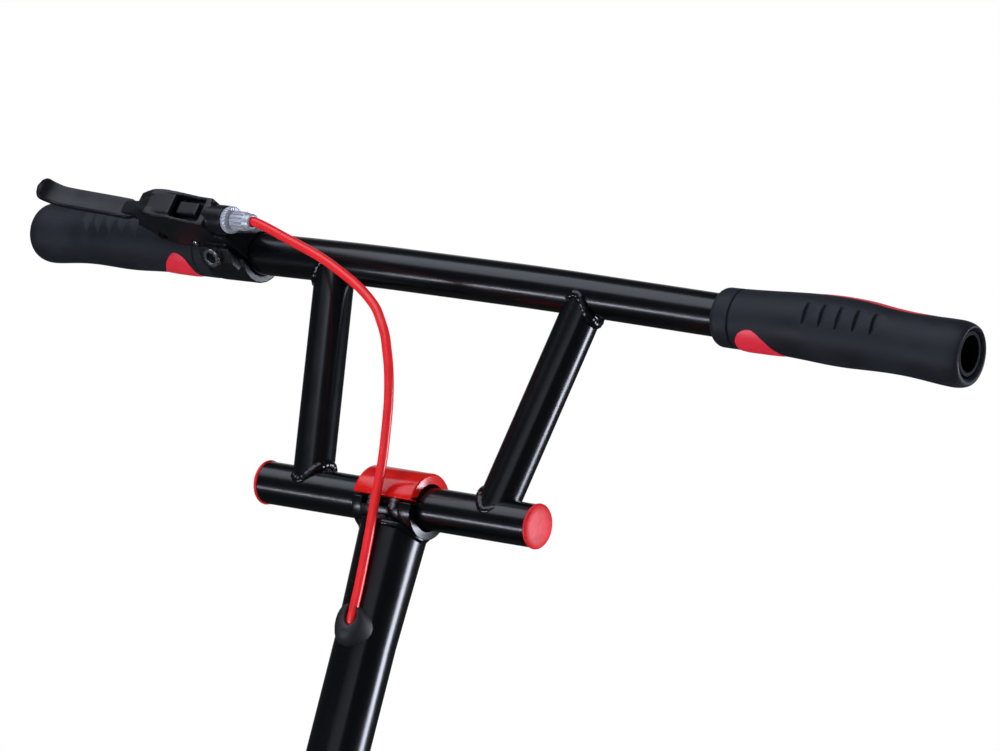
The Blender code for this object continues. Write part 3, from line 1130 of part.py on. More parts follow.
def frame():
    head = moved(rod(HEAD_RADIUS, HEAD_BOTTOM, HEAD_TOP, 28), AXIS_FOOT, (-LEAN, 0, 0))
    hollow = moved(rod(HEAD_BORE, HEAD_BOTTOM - PAST, HEAD_TOP + PAST, 24), AXIS_FOOT, (-LEAN, 0, 0))
    spine = [behind(along_axis, back) for along_axis, back in SPINE_UPPER]
    spine += [Vector((0, DECK_FRONT + y, RAIL_HEIGHT + z)) for y, z in SPINE_LOWER]
    body = joined(head, swept(smooth_path(spine, 0.024), DOWN_TUBE_RADIUS, 16))
    start = DECK_REAR + 0.004
    run, rise = AXLE_Y - STAY_LEAD - start, TYRE_RADIUS - STAY_DROP - RAIL_HEIGHT
    line = [(RAIL_SPREAD, start, RAIL_HEIGHT)]
    line += [(x, start + a * run, RAIL_HEIGHT + b * rise) for x, a, b in STAY_BENDS]
    line += [(STAY_END_SPREAD, start + run, RAIL_HEIGHT + rise)]
    smooth = [Vector((RAIL_SPREAD, DECK_FRONT + RAIL_INSET, RAIL_HEIGHT)), *smooth_path(line, 0.024)]
    room = AXLE_RADIUS + FIT
    for sign in (1, -1):
        rail = swept([(sign * x, y, z) for x, y, z in smooth], RAIL_RADIUS, 12)
        low, high = sorted((sign * DROPOUT_INNER, sign * (DROPOUT_INNER + DROPOUT_PLATE)))
        outline = arc((0, 0), DROPOUT_RADIUS, -60, 115, 7)
        outline += [(-0.032, -0.004), (-0.040, -0.022), (-0.018, -0.020)]
        plate = moved(prism(outline, low, high, "X"), (0, AXLE_Y, TYRE_RADIUS))
        slot = block((low - PAST, AXLE_Y, TYRE_RADIUS - room),
                     (high + PAST, AXLE_Y + 0.02, TYRE_RADIUS + room))
        hole = moved(rod(room, low - PAST, high + PAST, 16, "X"), (0, AXLE_Y, TYRE_RADIUS))
        body = joined(body, rail, cut(plate, joined(slot, hole)))
    for y in CROSS_PLACES:
        body = joined(body, moved(rod(CROSS_RADIUS, -RAIL_SPREAD, RAIL_SPREAD, 12, "X"), (0, y, RAIL_HEIGHT)))
    place = (0, STAND_Y, STAND_AXIS_HEIGHT)
    sleeve = moved(rod(STAND_TUBE_RADIUS, -STAND_TUBE_HALF, STAND_TUBE_HALF, 16, "X"), place)
    half = STAND_TUBE_HALF - WEB_INSET
    web = block((-half, STAND_Y - WEB_THICK / 2, STAND_AXIS_HEIGHT + STAND_TUBE_RADIUS * 2 / 3),
                (half, STAND_Y + WEB_THICK / 2, RAIL_HEIGHT - CROSS_RADIUS / 4))
    bore = moved(rod(STAND_ROD + FIT, -2 * STAND_TUBE_HALF, 2 * STAND_TUBE_HALF, 14, "X"), place)
    hole = rod(DECK_SCREW_RADIUS + FIT, SCREW_FOOT - FIT, DECK_HIGH, 12)
    holes = [moved(hole.copy(), (0, y, 0)) for y in SCREW_PLACES]
    return cut(joined(body, web, sleeve), hollow, bore, *holes)


solid("frame", frame(), BLACK_PAINT)


# Deck plate, its grip tape and its two screws

NOTCH_HALF = DOWN_TUBE_RADIUS + NOTCH_SIDE
NOTCH_END = DECK_FRONT + NOTCH_DEPTH


def deck_outline(margin):
    """Outline with round corners and a U-shaped notch in front, moved inwards by the margin."""
    half, corner = DECK_WIDTH / 2 - margin, DECK_CORNER - margin / 2
    front, rear = DECK_FRONT + margin, DECK_REAR - margin
    notch = NOTCH_HALF + margin
    return [*arc((half - corner, rear - corner), corner, 0, 90, 4),
            *arc((corner - half, rear - corner), corner, 90, 180, 4),
            *arc((corner - half, front + corner), corner, 180, 270, 4),
            (-notch, front), *arc((0, NOTCH_END - NOTCH_HALF), notch, 180, 0, 10), (notch, front),
            *arc((half - corner, front + corner), corner, 270, 360, 4)]


def countersunk(gap):
    """Countersunk screw, or its hole when there is a gap."""
    shank, head = DECK_SCREW_RADIUS + gap, DECK_SCREW_HEAD + gap
    foot, top = SCREW_FOOT - gap, DECK_HIGH + gap
    return turned([(0, foot), (shank, foot), (shank, DECK_HIGH - DECK_SCREW_SINK), (head, DECK_HIGH - FIT),
                   (head, top), (0, top)], 12)


deck_holes = [moved(countersunk(FIT), (0, y, 0)) for y in SCREW_PLACES]
solid("deck_plate", cut(prism(deck_outline(0), DECK_LOW, DECK_HIGH), *deck_holes), BLACK_PLASTIC)
solid("grip_tape", prism(deck_outline(TAPE_MARGIN), DECK_HIGH + FIT, DECK_HIGH + FIT + TAPE_THICK), GRIT)
for y, name in zip(SCREW_PLACES, ("front", "rear")):
    solid("deck_screw_" + name, countersunk(0), STEEL, None, (0, y, 0))


# Stand: one bent rod in the sleeve under the frame, with a foot on each side

def stand():
    """Modelled about its pivot. Each leg runs out and down to a foot that lies on the ground."""
    foot = STAND_ROD - STAND_AXIS_HEIGHT
    bend = STAND_BEND
    side = [(STAND_TUBE_HALF + bend / 2, 0, 0), (STAND_KNEE, 0, -bend / 6),
            (STAND_KNEE + bend, -STAND_RAKE / 10, -bend * 0.83),
            (STAND_FOOT - bend * 2.17, -STAND_RAKE * 0.85, foot + bend * 1.25),
            (STAND_FOOT - bend * 1.17, -STAND_RAKE * 0.97, foot + bend * 0.3),
            (STAND_FOOT, -STAND_RAKE, foot), (STAND_TOE, -STAND_RAKE, foot)]
    path = smooth_path(side, 0.0090)
    whole = [(-p.x, p.y, p.z) for p in reversed(path)] + [tuple(p) for p in path]
    return swept(whole, STAND_ROD, 12)


solid("stand", stand(), STEEL, empty("stand_axis", None, (0, STAND_Y, STAND_AXIS_HEIGHT)))
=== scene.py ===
import bmesh
import bpy
import numpy as np
from mathutils import Matrix


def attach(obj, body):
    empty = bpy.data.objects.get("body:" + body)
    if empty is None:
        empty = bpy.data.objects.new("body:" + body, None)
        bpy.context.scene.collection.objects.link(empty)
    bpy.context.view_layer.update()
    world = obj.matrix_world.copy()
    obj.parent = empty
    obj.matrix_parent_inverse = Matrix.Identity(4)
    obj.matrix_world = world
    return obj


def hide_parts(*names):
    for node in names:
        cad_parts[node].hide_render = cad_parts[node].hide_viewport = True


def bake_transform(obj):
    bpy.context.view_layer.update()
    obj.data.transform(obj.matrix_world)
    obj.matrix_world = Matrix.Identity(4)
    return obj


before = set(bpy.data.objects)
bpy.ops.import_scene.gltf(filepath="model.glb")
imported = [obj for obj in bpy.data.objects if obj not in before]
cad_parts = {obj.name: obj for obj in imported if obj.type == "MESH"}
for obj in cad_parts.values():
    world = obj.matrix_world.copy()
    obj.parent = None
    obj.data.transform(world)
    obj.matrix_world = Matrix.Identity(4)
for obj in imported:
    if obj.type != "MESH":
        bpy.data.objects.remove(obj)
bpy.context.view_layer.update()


# Studio. A white paper floor runs out into a white room, as in a product photograph. A big soft box hangs
# overhead and forwards, a tall strip stands behind on the right, a long low strip and a wide box stand in
# front: they draw the grey and the white streaks along the black tubes. What mirrors the room sees it
# nearly dark, as if black cards stood round the scooter, but for the backdrop behind it. The lamps are a
# little blue and the paper a little warm, so that the floor comes out neutral.
FILL, DARK_ROOM, DARK_PAPER, BACKDROP_FACING = 0.46, 0.05, 0.04, (-0.61, 0.79, 0.0)
BACKDROP_EDGE, BACKDROP_CORE, BACKDROP_LEVEL = 0.88, 0.99, 0.6
FLOOR_RADIUS, FADE_START, FADE_END = 6.0, 1.1, 2.6
LAMP_TINT = "#e9eeff"


def linear(code):
    """sRGB hex code as linear red, green, blue and alpha."""
    srgb = np.array([int(code[i:i + 2], 16) for i in (1, 3, 5)]) / 255
    return (*np.where(srgb <= 0.04045, srgb / 12.92, ((srgb + 0.055) / 1.055) ** 2.4).tolist(), 1.0)


def add(tree, kind, *inputs, **settings):
    """New node with its own settings. Each input is a socket with the value or the output it takes."""
    node = tree.nodes.new(kind)
    for setting, value in settings.items():
        setattr(node, setting, value)
    for socket, value in inputs:
        if isinstance(value, bpy.types.NodeSocket):
            tree.links.new(value, node.inputs[socket])
        else:
            node.inputs[socket].default_value = value
    return node


def put(name, data):
    """New object in the scene."""
    made = bpy.data.objects.new(name, data)
    bpy.context.scene.collection.objects.link(made)
    return made


def unit(vectors):
    """Vectors of length 1 that point the same ways."""
    return vectors / np.linalg.norm(vectors, axis=-1, keepdims=True)


def full_turn(count):
    """Even angles once round, without the last, which is the first again."""
    return np.linspace(0, 2 * np.pi, count, endpoint=False)


def background_rays(tree):
    """1 for the rays that see the white room itself: from the camera, through glass, off a gloss."""
    path = add(tree, "ShaderNodeLightPath")
    seen = add(tree, "ShaderNodeMath", (0, path.outputs["Is Camera Ray"]),
               (1, path.outputs["Is Transmission Ray"]), operation="MAXIMUM")
    return seen.outputs[0], path.outputs["Is Glossy Ray"]


world = bpy.data.worlds.new("white_room")
bpy.context.scene.world = world
world.use_nodes = True
room = world.node_tree
room.nodes.clear()
seen, glossy = background_rays(room)
facing = add(room, "ShaderNodeVectorMath", (0, add(room, "ShaderNodeTexCoord").outputs["Generated"]),
             (1, BACKDROP_FACING), operation="DOT_PRODUCT")
backdrop = add(room, "ShaderNodeMapRange", ("Value", facing.outputs["Value"]), ("From Min", BACKDROP_EDGE),
               ("From Max", BACKDROP_CORE), ("To Min", 0.0), ("To Max", BACKDROP_LEVEL),
               interpolation_type="SMOOTHSTEP")
mirrored = add(room, "ShaderNodeMath", (0, glossy), (1, backdrop.outputs["Result"]), operation="MULTIPLY")
share = add(room, "ShaderNodeMath", (0, seen), (1, mirrored.outputs[0]), operation="MAXIMUM")
level = add(room, "ShaderNodeMath", (0, glossy), (1, DARK_ROOM - FILL), (2, FILL), operation="MULTIPLY_ADD")
fill_light = add(room, "ShaderNodeBackground", ("Color", linear("#eef2ff")), ("Strength", level.outputs[0]))
white_room = add(room, "ShaderNodeBackground", ("Color", (1, 1, 1, 1)), ("Strength", 1.0))
mixed = add(room, "ShaderNodeMixShader", ("Fac", share.outputs[0]), (1, fill_light.outputs[0]),
            (2, white_room.outputs[0]))
add(room, "ShaderNodeOutputWorld", ("Surface", mixed.outputs[0]))

for title, place, aim, size, watts in (
        ("soft_box_overhead", (-0.7, -1.3, 2.75), (-0.7, -1.29, 0.6), (3.2, 2.4), 58),
        ("strip_right", (1.55, 1.05, 0.46), (0, -0.15, 0.80), (0.60, 0.84), 35),
        ("strip_front_left", (-0.70, -2.1, 0.10), (0, -0.1, 0.80), (1.8, 0.14), 20),
        ("soft_box_front", (1.0, -3.2, 1.65), (0, -0.1, 0.7), (2.6, 0.7), 6)):
    lamp = bpy.data.lights.new(title, "AREA")
    lamp.shape = "RECTANGLE"
    lamp.size, lamp.size_y = size
    lamp.energy = watts
    lamp.color = linear(LAMP_TINT)[:3]
    holder = put(title, lamp)
    ahead = unit(np.array(aim) - np.array(place))
    across = unit(np.cross(ahead, (0, 0, 1)))
    turn = np.eye(4)
    turn[:3, 0], turn[:3, 1], turn[:3, 2], turn[:3, 3] = across, np.cross(across, ahead), -ahead, place
    holder.matrix_world = Matrix(turn.tolist())
    holder.visible_camera = False

# The paper keeps the scooter's shadow near it, and by 2.6 m away it has gone over into the white of
# the room: far is smoothstep from FADE_START to FADE_END of the distance from the middle.
paper = bpy.data.materials.new("white_studio_paper")
paper.use_nodes = True
tree = paper.node_tree
shader = tree.nodes["Principled BSDF"]
shader.inputs["Base Color"].default_value = linear("#f6f2e9")
shader.inputs["Roughness"].default_value = 0.85
seen, glossy = background_rays(tree)
away = add(tree, "ShaderNodeVectorMath", (0, add(tree, "ShaderNodeTexCoord").outputs["Object"]),
           operation="LENGTH")
far = add(tree, "ShaderNodeMapRange", ("Value", away.outputs["Value"]), ("From Min", FADE_START),
          ("From Max", FADE_END), interpolation_type="SMOOTHSTEP")
share = add(tree, "ShaderNodeMath", (0, seen), (1, far.outputs["Result"]), operation="MULTIPLY")
glow = add(tree, "ShaderNodeEmission", ("Color", (1, 1, 1, 1)), ("Strength", 1.0))
mixed = add(tree, "ShaderNodeMixShader", ("Fac", share.outputs[0]), (1, shader.outputs[0]),
            (2, glow.outputs[0]))
dark = add(tree, "ShaderNodeEmission", ("Color", (1, 1, 1, 1)), ("Strength", DARK_PAPER))
mirrored = add(tree, "ShaderNodeMixShader", ("Fac", glossy), (1, mixed.outputs[0]), (2, dark.outputs[0]))
tree.links.new(mirrored.outputs[0], tree.nodes["Material Output"].inputs["Surface"])
radius = np.concatenate(((0,), np.linspace(0.3, FLOOR_RADIUS, 20)))[:, None]
turn = full_turn(96)
disc = np.stack((radius * np.cos(turn), radius * np.sin(turn), np.zeros((21, 96))), -1)
i, j = np.meshgrid(np.arange(20), np.arange(96), indexing="ij")
quads = np.stack((i * 96 + j, (i + 1) * 96 + j, (i + 1) * 96 + (j + 1) % 96, i * 96 + (j + 1) % 96), -1)
sheet = bpy.data.meshes.new("paper_floor")
sheet.from_pydata(disc.reshape(-1, 3).tolist(), [], quads.reshape(-1, 4).tolist())
sheet.materials.append(paper)
floor = put("paper_floor", sheet)


# Camera, as the photograph was taken: from the rider's front left, a little above the crossbar, with a
# long lens and a slight roll. Its place comes from a fit to the tubes' edges.
CAMERA_PLACE, LENS, SENSOR = (1.82442, -2.42815, 1.24857), 209.16, 36.0
azimuth, elevation, roll = np.radians((37.522, 8.229, 1.985))
ahead = np.array((-np.sin(azimuth) * np.cos(elevation), np.cos(azimuth) * np.cos(elevation),
                  -np.sin(elevation)))
level = np.array((np.cos(azimuth), np.sin(azimuth), 0.0))
above = np.cross(level, ahead)
right = np.cos(roll) * level + np.sin(roll) * above
upward = np.cos(roll) * above - np.sin(roll) * level
photographer = bpy.data.cameras.new("camera")
photographer.sensor_width = SENSOR
photographer.lens = LENS
photographer.clip_end = 60.0
camera = put("camera", photographer)
pose = np.eye(4)
pose[:3, 0], pose[:3, 1], pose[:3, 2], pose[:3, 3] = right, upward, -ahead, CAMERA_PLACE
camera.matrix_world = Matrix(pose.tolist())
bpy.context.scene.camera = camera
bpy.context.scene.view_settings.view_transform = "Standard"


# Frame. Steel tube, cut, coped and welded, then powder coated in gloss black: head tube, one down tube,
# two rails out to the rear dropouts, four cross tubes, and a sleeve for the stand under the third.
LEAN = np.radians(20)
FORK_OFFSET, AXLE_Y, AXLE_Z = 0.035, 0.390, 0.150
AXIS_FOOT = np.array((0, FORK_OFFSET * np.cos(LEAN) - AXLE_Y, AXLE_Z - FORK_OFFSET * np.sin(LEAN)))
HEAD_LOW, HEAD_HIGH, HEAD_RADIUS = 0.212, 0.312, 0.0185
DOWN_RADIUS, RAIL_RADIUS, CROSS_RADIUS = 0.019, 0.011, 0.009
RAIL_SPREAD, RAIL_HEIGHT, STAND_AXIS = 0.040, 0.075, (0, 0.070, 0.049)


def steered(points):
    """Points of the steering frame, whose Z leans back by LEAN from its axis's foot, in the world."""
    turn = np.array(((1, 0, 0), (0, np.cos(LEAN), -np.sin(LEAN)), (0, np.sin(LEAN), np.cos(LEAN))))
    return np.asarray(points, float) @ turn + AXIS_FOOT


def smooth(points, count):
    """Even points on the smooth curve through the given ones: on each stretch a cubic whose slopes
    at its ends are half the way between the neighbours, sampled at equal lengths."""
    p = np.asarray(points, float)
    p = np.concatenate((2 * p[:1] - p[1:2], p, 2 * p[-1:] - p[-2:-1]))
    t = np.linspace(0, 1, 32, endpoint=False)[:, None]
    a, b, c, d = p[:-3, None], p[1:-2, None], p[2:-1, None], p[3:, None]
    fine = 0.5 * (2 * b + (c - a) * t + (2 * a - 5 * b + 4 * c - d) * t**2 + (3 * b - 3 * c + d - a) * t**3)
    fine = np.concatenate((fine.reshape(-1, p.shape[1]), p[-2:-1]))
    run = np.concatenate(((0,), np.cumsum(np.linalg.norm(np.diff(fine, axis=0), axis=1))))
    even = np.linspace(0, run[-1], count)
    return np.stack([np.interp(even, run, fine[:, k]) for k in range(p.shape[1])], 1)


def tube(path, radius, around=48, up=(0, 0, 1), loop=False):
    """Rings of a round tube: point + radius * (cos turn * side + sin turn * top), with side and top
    square to the path. The radius may change along the path, and a loop's path has no ends."""
    path = np.asarray(path, float)
    ahead = unit(np.roll(path, -1, 0) - np.roll(path, 1, 0) if loop else np.gradient(path, axis=0))
    side = unit(np.cross(ahead, up))
    top = np.cross(side, ahead)
    turn = full_turn(around)[None, :, None]
    size = np.broadcast_to(radius, len(path))[:, None, None]
    return path[:, None] + size * (np.cos(turn) * side[:, None] + np.sin(turn) * top[:, None])


def pipe(path, radius, wall, around=48, up=(0, 0, 1)):
    """Open tube with a wall: its outside from end to end, then its inside back again, in one loop."""
    outside, inside = tube(path, radius, around, up), tube(path, radius - wall, around, up)
    return np.concatenate((outside, inside[::-1]))


def turned(profile, around=64, axis=2, at=(0, 0, 0)):
    """Body of revolution: each (radius, height) of the profile becomes a ring about the axis."""
    radius, height = np.asarray(profile, float).T
    turn = full_turn(around)
    ring = [radius[:, None] * np.cos(turn), radius[:, None] * np.sin(turn)]
    ring.insert(axis, np.repeat(height[:, None], around, 1))
    return np.stack(ring, -1) + np.asarray(at, float)


def mm(*points):
    """Points given in millimetres, in metres."""
    return [tuple(value / 1000 for value in point) for point in points]


def arc(radius, angles, x=0.0, y=0.0):
    """Points of a flat arc about (x, y)."""
    return np.stack((x + radius * np.cos(angles), y + radius * np.sin(angles)), -1)


def eased(outline, radius, steps=5, loop=True):
    """Outline with each corner P eased from A to B on its two sides: (1-t)^2 A + 2t(1-t) P + t^2 B."""
    p = np.asarray(outline, float)
    before, after = np.roll(p, 1, 0) - p, np.roll(p, -1, 0) - p
    reach = np.minimum(np.linalg.norm(before, axis=1), np.linalg.norm(after, axis=1)) * 0.48
    reach = np.minimum(reach, np.broadcast_to(radius, len(p)))[:, None]
    a = p + before / np.maximum(np.linalg.norm(before, axis=1, keepdims=True), 1e-9) * reach
    b = p + after / np.maximum(np.linalg.norm(after, axis=1, keepdims=True), 1e-9) * reach
    t = np.linspace(0, 1, steps)[:, None]
    bent = (1 - t)**2 * a[:, None] + 2 * t * (1 - t) * p[:, None] + t**2 * b[:, None]
    if not loop:
        return np.concatenate((p[:1], bent[1:-1].reshape(-1, p.shape[1]), p[-1:]))
    return bent.reshape(-1, p.shape[1])


def slab(outline, low, high, edge, axis=2):
    """Plate between two heights whose outline draws in by edge * (1 - sin a) as it nears each face,
    a quarter round. The outline's two coordinates are the other two axes in their order."""
    p = np.asarray(outline, float)
    run = np.roll(p, -1, 0) - np.roll(p, 1, 0)
    inward = np.stack((-run[:, 1], run[:, 0]), 1)
    inward = inward / np.maximum(np.linalg.norm(inward, axis=1, keepdims=True), 1e-12)
    area = np.sum(p[:, 0] * np.roll(p[:, 1], -1) - np.roll(p[:, 0], -1) * p[:, 1])
    inward = inward * np.sign(area)
    a = np.linspace(0, np.pi / 2, 5)
    draw = edge * (1 - np.sin(a))
    height = np.concatenate((low + edge * (1 - np.cos(a)), (high - edge * (1 - np.cos(a)))[::-1]))
    flat = p[None] + inward[None] * np.concatenate((draw, draw[::-1]))[:, None, None]
    return np.insert(flat, axis, np.repeat(height[:, None], len(p), 1), axis=-1)


def weld(foot, ahead, radius, main, main_radius, thick=0.0027):
    """Bead where a tube of that radius, leaving foot along ahead, meets a main tube along main. Round
    the tube by turn, with c its offset along main and a = ahead.main, the tubes' skins meet at
    t = (-ac + sqrt(a^2 c^2 + (1 - a^2)(R^2 + c^2 - r^2))) / (1 - a^2). Small waves are the ripples."""
    foot, d, e = (np.asarray(v, float) for v in (foot, ahead, main))
    d, e = unit(d), unit(e)
    u = unit(e - d * (e @ d))
    v = np.cross(d, u)
    turn = full_turn(160)[:, None]
    offset = radius * (np.cos(turn) * u + np.sin(turn) * v)
    a, c = d @ e, offset @ e
    root = np.sqrt(np.maximum(a**2 * c**2 + (1 - a**2) * (main_radius**2 + c**2 - radius**2), 0))
    reach = (root - a * c) / (1 - a**2)
    line = foot + offset * (1 - 0.0010 / radius) + (reach[:, None] - 0.0009) * d
    length = np.linalg.norm(line - np.roll(line, 1, 0), axis=1).sum()
    waves = 1 + 0.03 * np.sin(turn[:, 0] * round(length / 0.0024)) + 0.05 * np.sin(5 * turn[:, 0])
    return tube(line, thick * waves, 12, d, loop=True)


def skin(rows, loop=False, slot=0):
    """Points, faces and finish number of a closed skin. Rings of points are joined by quads, the first
    and last get a flat face unless the rings themselves run round in a loop, and faces look outwards."""
    n, m = rows.shape[:2]
    i, j = np.meshgrid(np.arange(n if loop else n - 1), np.arange(m), indexing="ij")
    k, next_i = (j + 1) % m, (i + 1) % n
    quads = np.stack((i * m + j, i * m + k, next_i * m + k, next_i * m + j), -1).reshape(-1, 4)
    points = rows.reshape(-1, 3)
    faces = quads.tolist()
    if not loop:
        faces += [list(range(m))[::-1], list(range((n - 1) * m, n * m))]
    p = points - points.mean(0)
    a, b, c, d = (p[quads[:, s]] for s in range(4))
    volume = np.sum(a * np.cross(b, c)) + np.sum(a * np.cross(c, d))
    if not loop:
        for ring, sense in ((p[:m], -1), (p[-m:], 1)):
            hub = ring.mean(0)
            volume += sense * np.sum(hub * np.cross(ring, np.roll(ring, -1, 0)))
    return points, faces if volume > 0 else [face[::-1] for face in faces], slot


def piece(name, skins, finishes, sharp=32):
    """Object of closed skins. Equal points are merged, so a ring of radius 0 becomes a pole, and edges
    sharper than the angle stay sharp."""
    points, faces, slots, start = [], [], [], 0
    for places, loops, slot in skins:
        points.append(places)
        faces += [[k + start for k in loop] for loop in loops]
        slots += [slot] * len(loops)
        start += len(places)
    mesh = bpy.data.meshes.new(name)
    mesh.from_pydata(np.concatenate(points).tolist(), [], faces)
    mesh.polygons.foreach_set("material_index", slots)
    for material in finishes:
        mesh.materials.append(material)
    shape = bmesh.new()
    shape.from_mesh(mesh)
    bmesh.ops.remove_doubles(shape, verts=shape.verts, dist=2e-6)
    bmesh.ops.dissolve_degenerate(shape, edges=shape.edges, dist=1e-6)
    shape.to_mesh(mesh)
    shape.free()
    mesh.shade_smooth()
    mesh.set_sharp_from_angle(angle=np.radians(sharp))
    made = put(name, mesh)
    return made


def dress(made, body, slot, *nodes):
    """Let the piece ride on a body and let it stand for those nodes of the CAD. The slot is not used."""
    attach(made, body)
    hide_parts(*nodes)


def noise(scale, detail, **inputs):
    """Pattern of noise, to hand to finish: its scale in waves per metre, its octaves, other inputs."""
    return "ShaderNodeTexNoise", "Fac", {"Scale": scale, "Detail": detail, **inputs}


def finish(name, colour, roughness, metallic=0.0, tones=None, gloss=None, relief=None, **sockets):
    """Material of one Principled shader in object coordinates. As a pattern goes from low to high, the
    colour goes from dark to light by tones (pattern, low, high, dark, light), and the roughness by
    gloss (pattern, low, high, least, most). Relief is (pattern, strength, height in metres)."""
    made = bpy.data.materials.new(name)
    made.use_nodes = True
    tree = made.node_tree
    shader = tree.nodes["Principled BSDF"]
    sockets.update(Base_Color=linear(colour), Roughness=roughness, Metallic=metallic)
    for socket, value in sockets.items():
        shader.inputs[socket.replace("_", " ")].default_value = value
    here = add(tree, "ShaderNodeTexCoord").outputs["Object"]

    def value(pattern):
        kind, output, inputs = pattern
        return add(tree, kind, ("Vector", here), *inputs.items()).outputs[output]

    def ranged(pattern, low, high, first, last):
        return add(tree, "ShaderNodeMapRange", ("Value", value(pattern)), ("From Min", low),
                   ("From Max", high), ("To Min", first), ("To Max", last)).outputs["Result"]

    if tones:
        share = ranged(*tones[:3], 0, 1)
        shade = add(tree, "ShaderNodeMix", ("Factor", share), (6, linear(tones[3])), (7, linear(tones[4])),
                    data_type="RGBA")
        tree.links.new(shade.outputs[2], shader.inputs["Base Color"])
    if gloss:
        tree.links.new(ranged(*gloss), shader.inputs["Roughness"])
    if relief:
        bump = add(tree, "ShaderNodeBump", ("Strength", relief[1]), ("Distance", relief[2]),
                   ("Height", value(relief[0])))
        tree.links.new(bump.outputs["Normal"], shader.inputs["Normal"])
    return made


# Powder coat cures with a faint orange peel of about 1.5 mm, and its gloss varies a little with dust
# and handling. The black is deep, so what shows of it is what it mirrors.
gloss_black = finish("gloss_black_powder_coat", "#050608", 0.23,
                     gloss=(noise(38, 4), 0.35, 0.75, 0.20, 0.27), relief=(noise(620, 1), 0.05, 0.0002),
                     Specular_IOR_Level=0.45)


def behind(reach, back):
    """Point in the middle plane, so far up the steering axis and so far behind it, square to it."""
    up, backwards = np.array((0, np.sin(LEAN), np.cos(LEAN))), np.array((0, np.cos(LEAN), -np.sin(LEAN)))
    return AXIS_FOOT + reach * up + back * backwards


spine = smooth([behind(0.272, 0.004), behind(0.225, 0.062), behind(0.165, 0.122), (0, -0.152, 0.190),
                (0, -0.140, 0.138), (0, -0.118, 0.098), (0, -0.085, 0.073), (0, -0.045, 0.0665),
                (0, -0.015, 0.0665)], 90)
head_path = steered([(0, 0, HEAD_LOW), (0, 0, HEAD_LOW + 0.004), (0, 0, HEAD_HIGH - 0.004),
                     (0, 0, HEAD_HIGH)])
steel = [skin(tube(spine, DOWN_RADIUS, 64, (1, 0, 0))),
         skin(pipe(head_path, HEAD_RADIUS, 0.0023, 72, (1, 0, 0)), loop=True)]
leave = behind(0.225, 0.062) - behind(0.272, 0.004)
steel.append(skin(weld(behind(0.272, 0.004) - leave * 0.07, leave, DOWN_RADIUS, head_path[-1]
                       - head_path[0], HEAD_RADIUS, 0.0026), loop=True))
for side in (1, -1):
    bent = smooth(mm((40, 222, 75), (46.5, 256, 88), (52, 300, 110), (49, 362, 138)), 40)
    rail = np.concatenate((np.linspace((0.040, -0.100, 0.075), (0.040, 0.2215, 0.075), 30),
                           bent[1:])) * (side, 1, 1)
    steel.append(skin(tube(rail, RAIL_RADIUS, 40)))
    angle = np.radians(np.linspace(-60, 115, 24))
    plate = np.concatenate((arc(0.0135, angle, AXLE_Y, AXLE_Z),
                            ((0.358, 0.146), (0.350, 0.128), (0.372, 0.130))))
    low, high = sorted((side * 0.0455, side * 0.0505))
    steel.append(skin(slab(plate, low, high, 0.0008, 0)))
for y in (-0.085, -0.030, 0.070, 0.190):
    steel.append(skin(tube(np.linspace((-RAIL_SPREAD, y, RAIL_HEIGHT), (RAIL_SPREAD, y, RAIL_HEIGHT), 24),
                           CROSS_RADIUS, 36)))
    for side in (1, -1):
        steel.append(skin(weld((side * RAIL_SPREAD, y, RAIL_HEIGHT), (-side, 0, 0), CROSS_RADIUS, (0, 1, 0),
                               RAIL_RADIUS, 0.0016), loop=True))
sleeve = np.linspace((-0.024, 0, 0), (0.024, 0, 0), 6) + STAND_AXIS
steel.append(skin(pipe(sleeve, 0.0090, 0.0036, 40), loop=True))
steel.append(skin(slab(mm((-20, 66), (20, 66), (20, 74), (-20, 74)), 0.054, 0.074, 0.0006)))
dress(piece("welded_frame", steel, [gloss_black]), "frame", "black_paint", "frame")


# Fork. A welded steel fork: a crown block over two straight legs with open dropouts, the steerer up
# through the head tube, and a stop for the brake cable on the left leg. Gloss black like the frame.
CROWN_LOW, CROWN_HIGH = 0.170, 0.194
STEERER_RADIUS, STEERER_WALL, STEERER_TOP = 0.0143, 0.0028, 0.420
LEG_TOP, LEG_FOOT = np.array((0.048, 0, 0.188)), np.array((0.048, -0.032, 0.020))
PULL, ARM_LIE = np.array((0, 0.613, 0.790)), np.array((0, -0.790, 0.613))
CAM = np.array((0, -0.059, 0.022))
ARM_END = CAM + (0.0350, 0, 0) + 0.045 * ARM_LIE
STOP = ARM_END + 0.075 * PULL


def circle(centre, ahead, radius, count=96):
    """Round path about a centre, square to a direction."""
    d = unit(np.asarray(ahead, float))
    u = unit(np.cross(d, (1, 0, 0) if abs(d[0]) < 0.8 else (0, 1, 0)))
    turn = full_turn(count)[:, None]
    return np.asarray(centre) + radius * (np.cos(turn) * u + np.sin(turn) * np.cross(d, u))


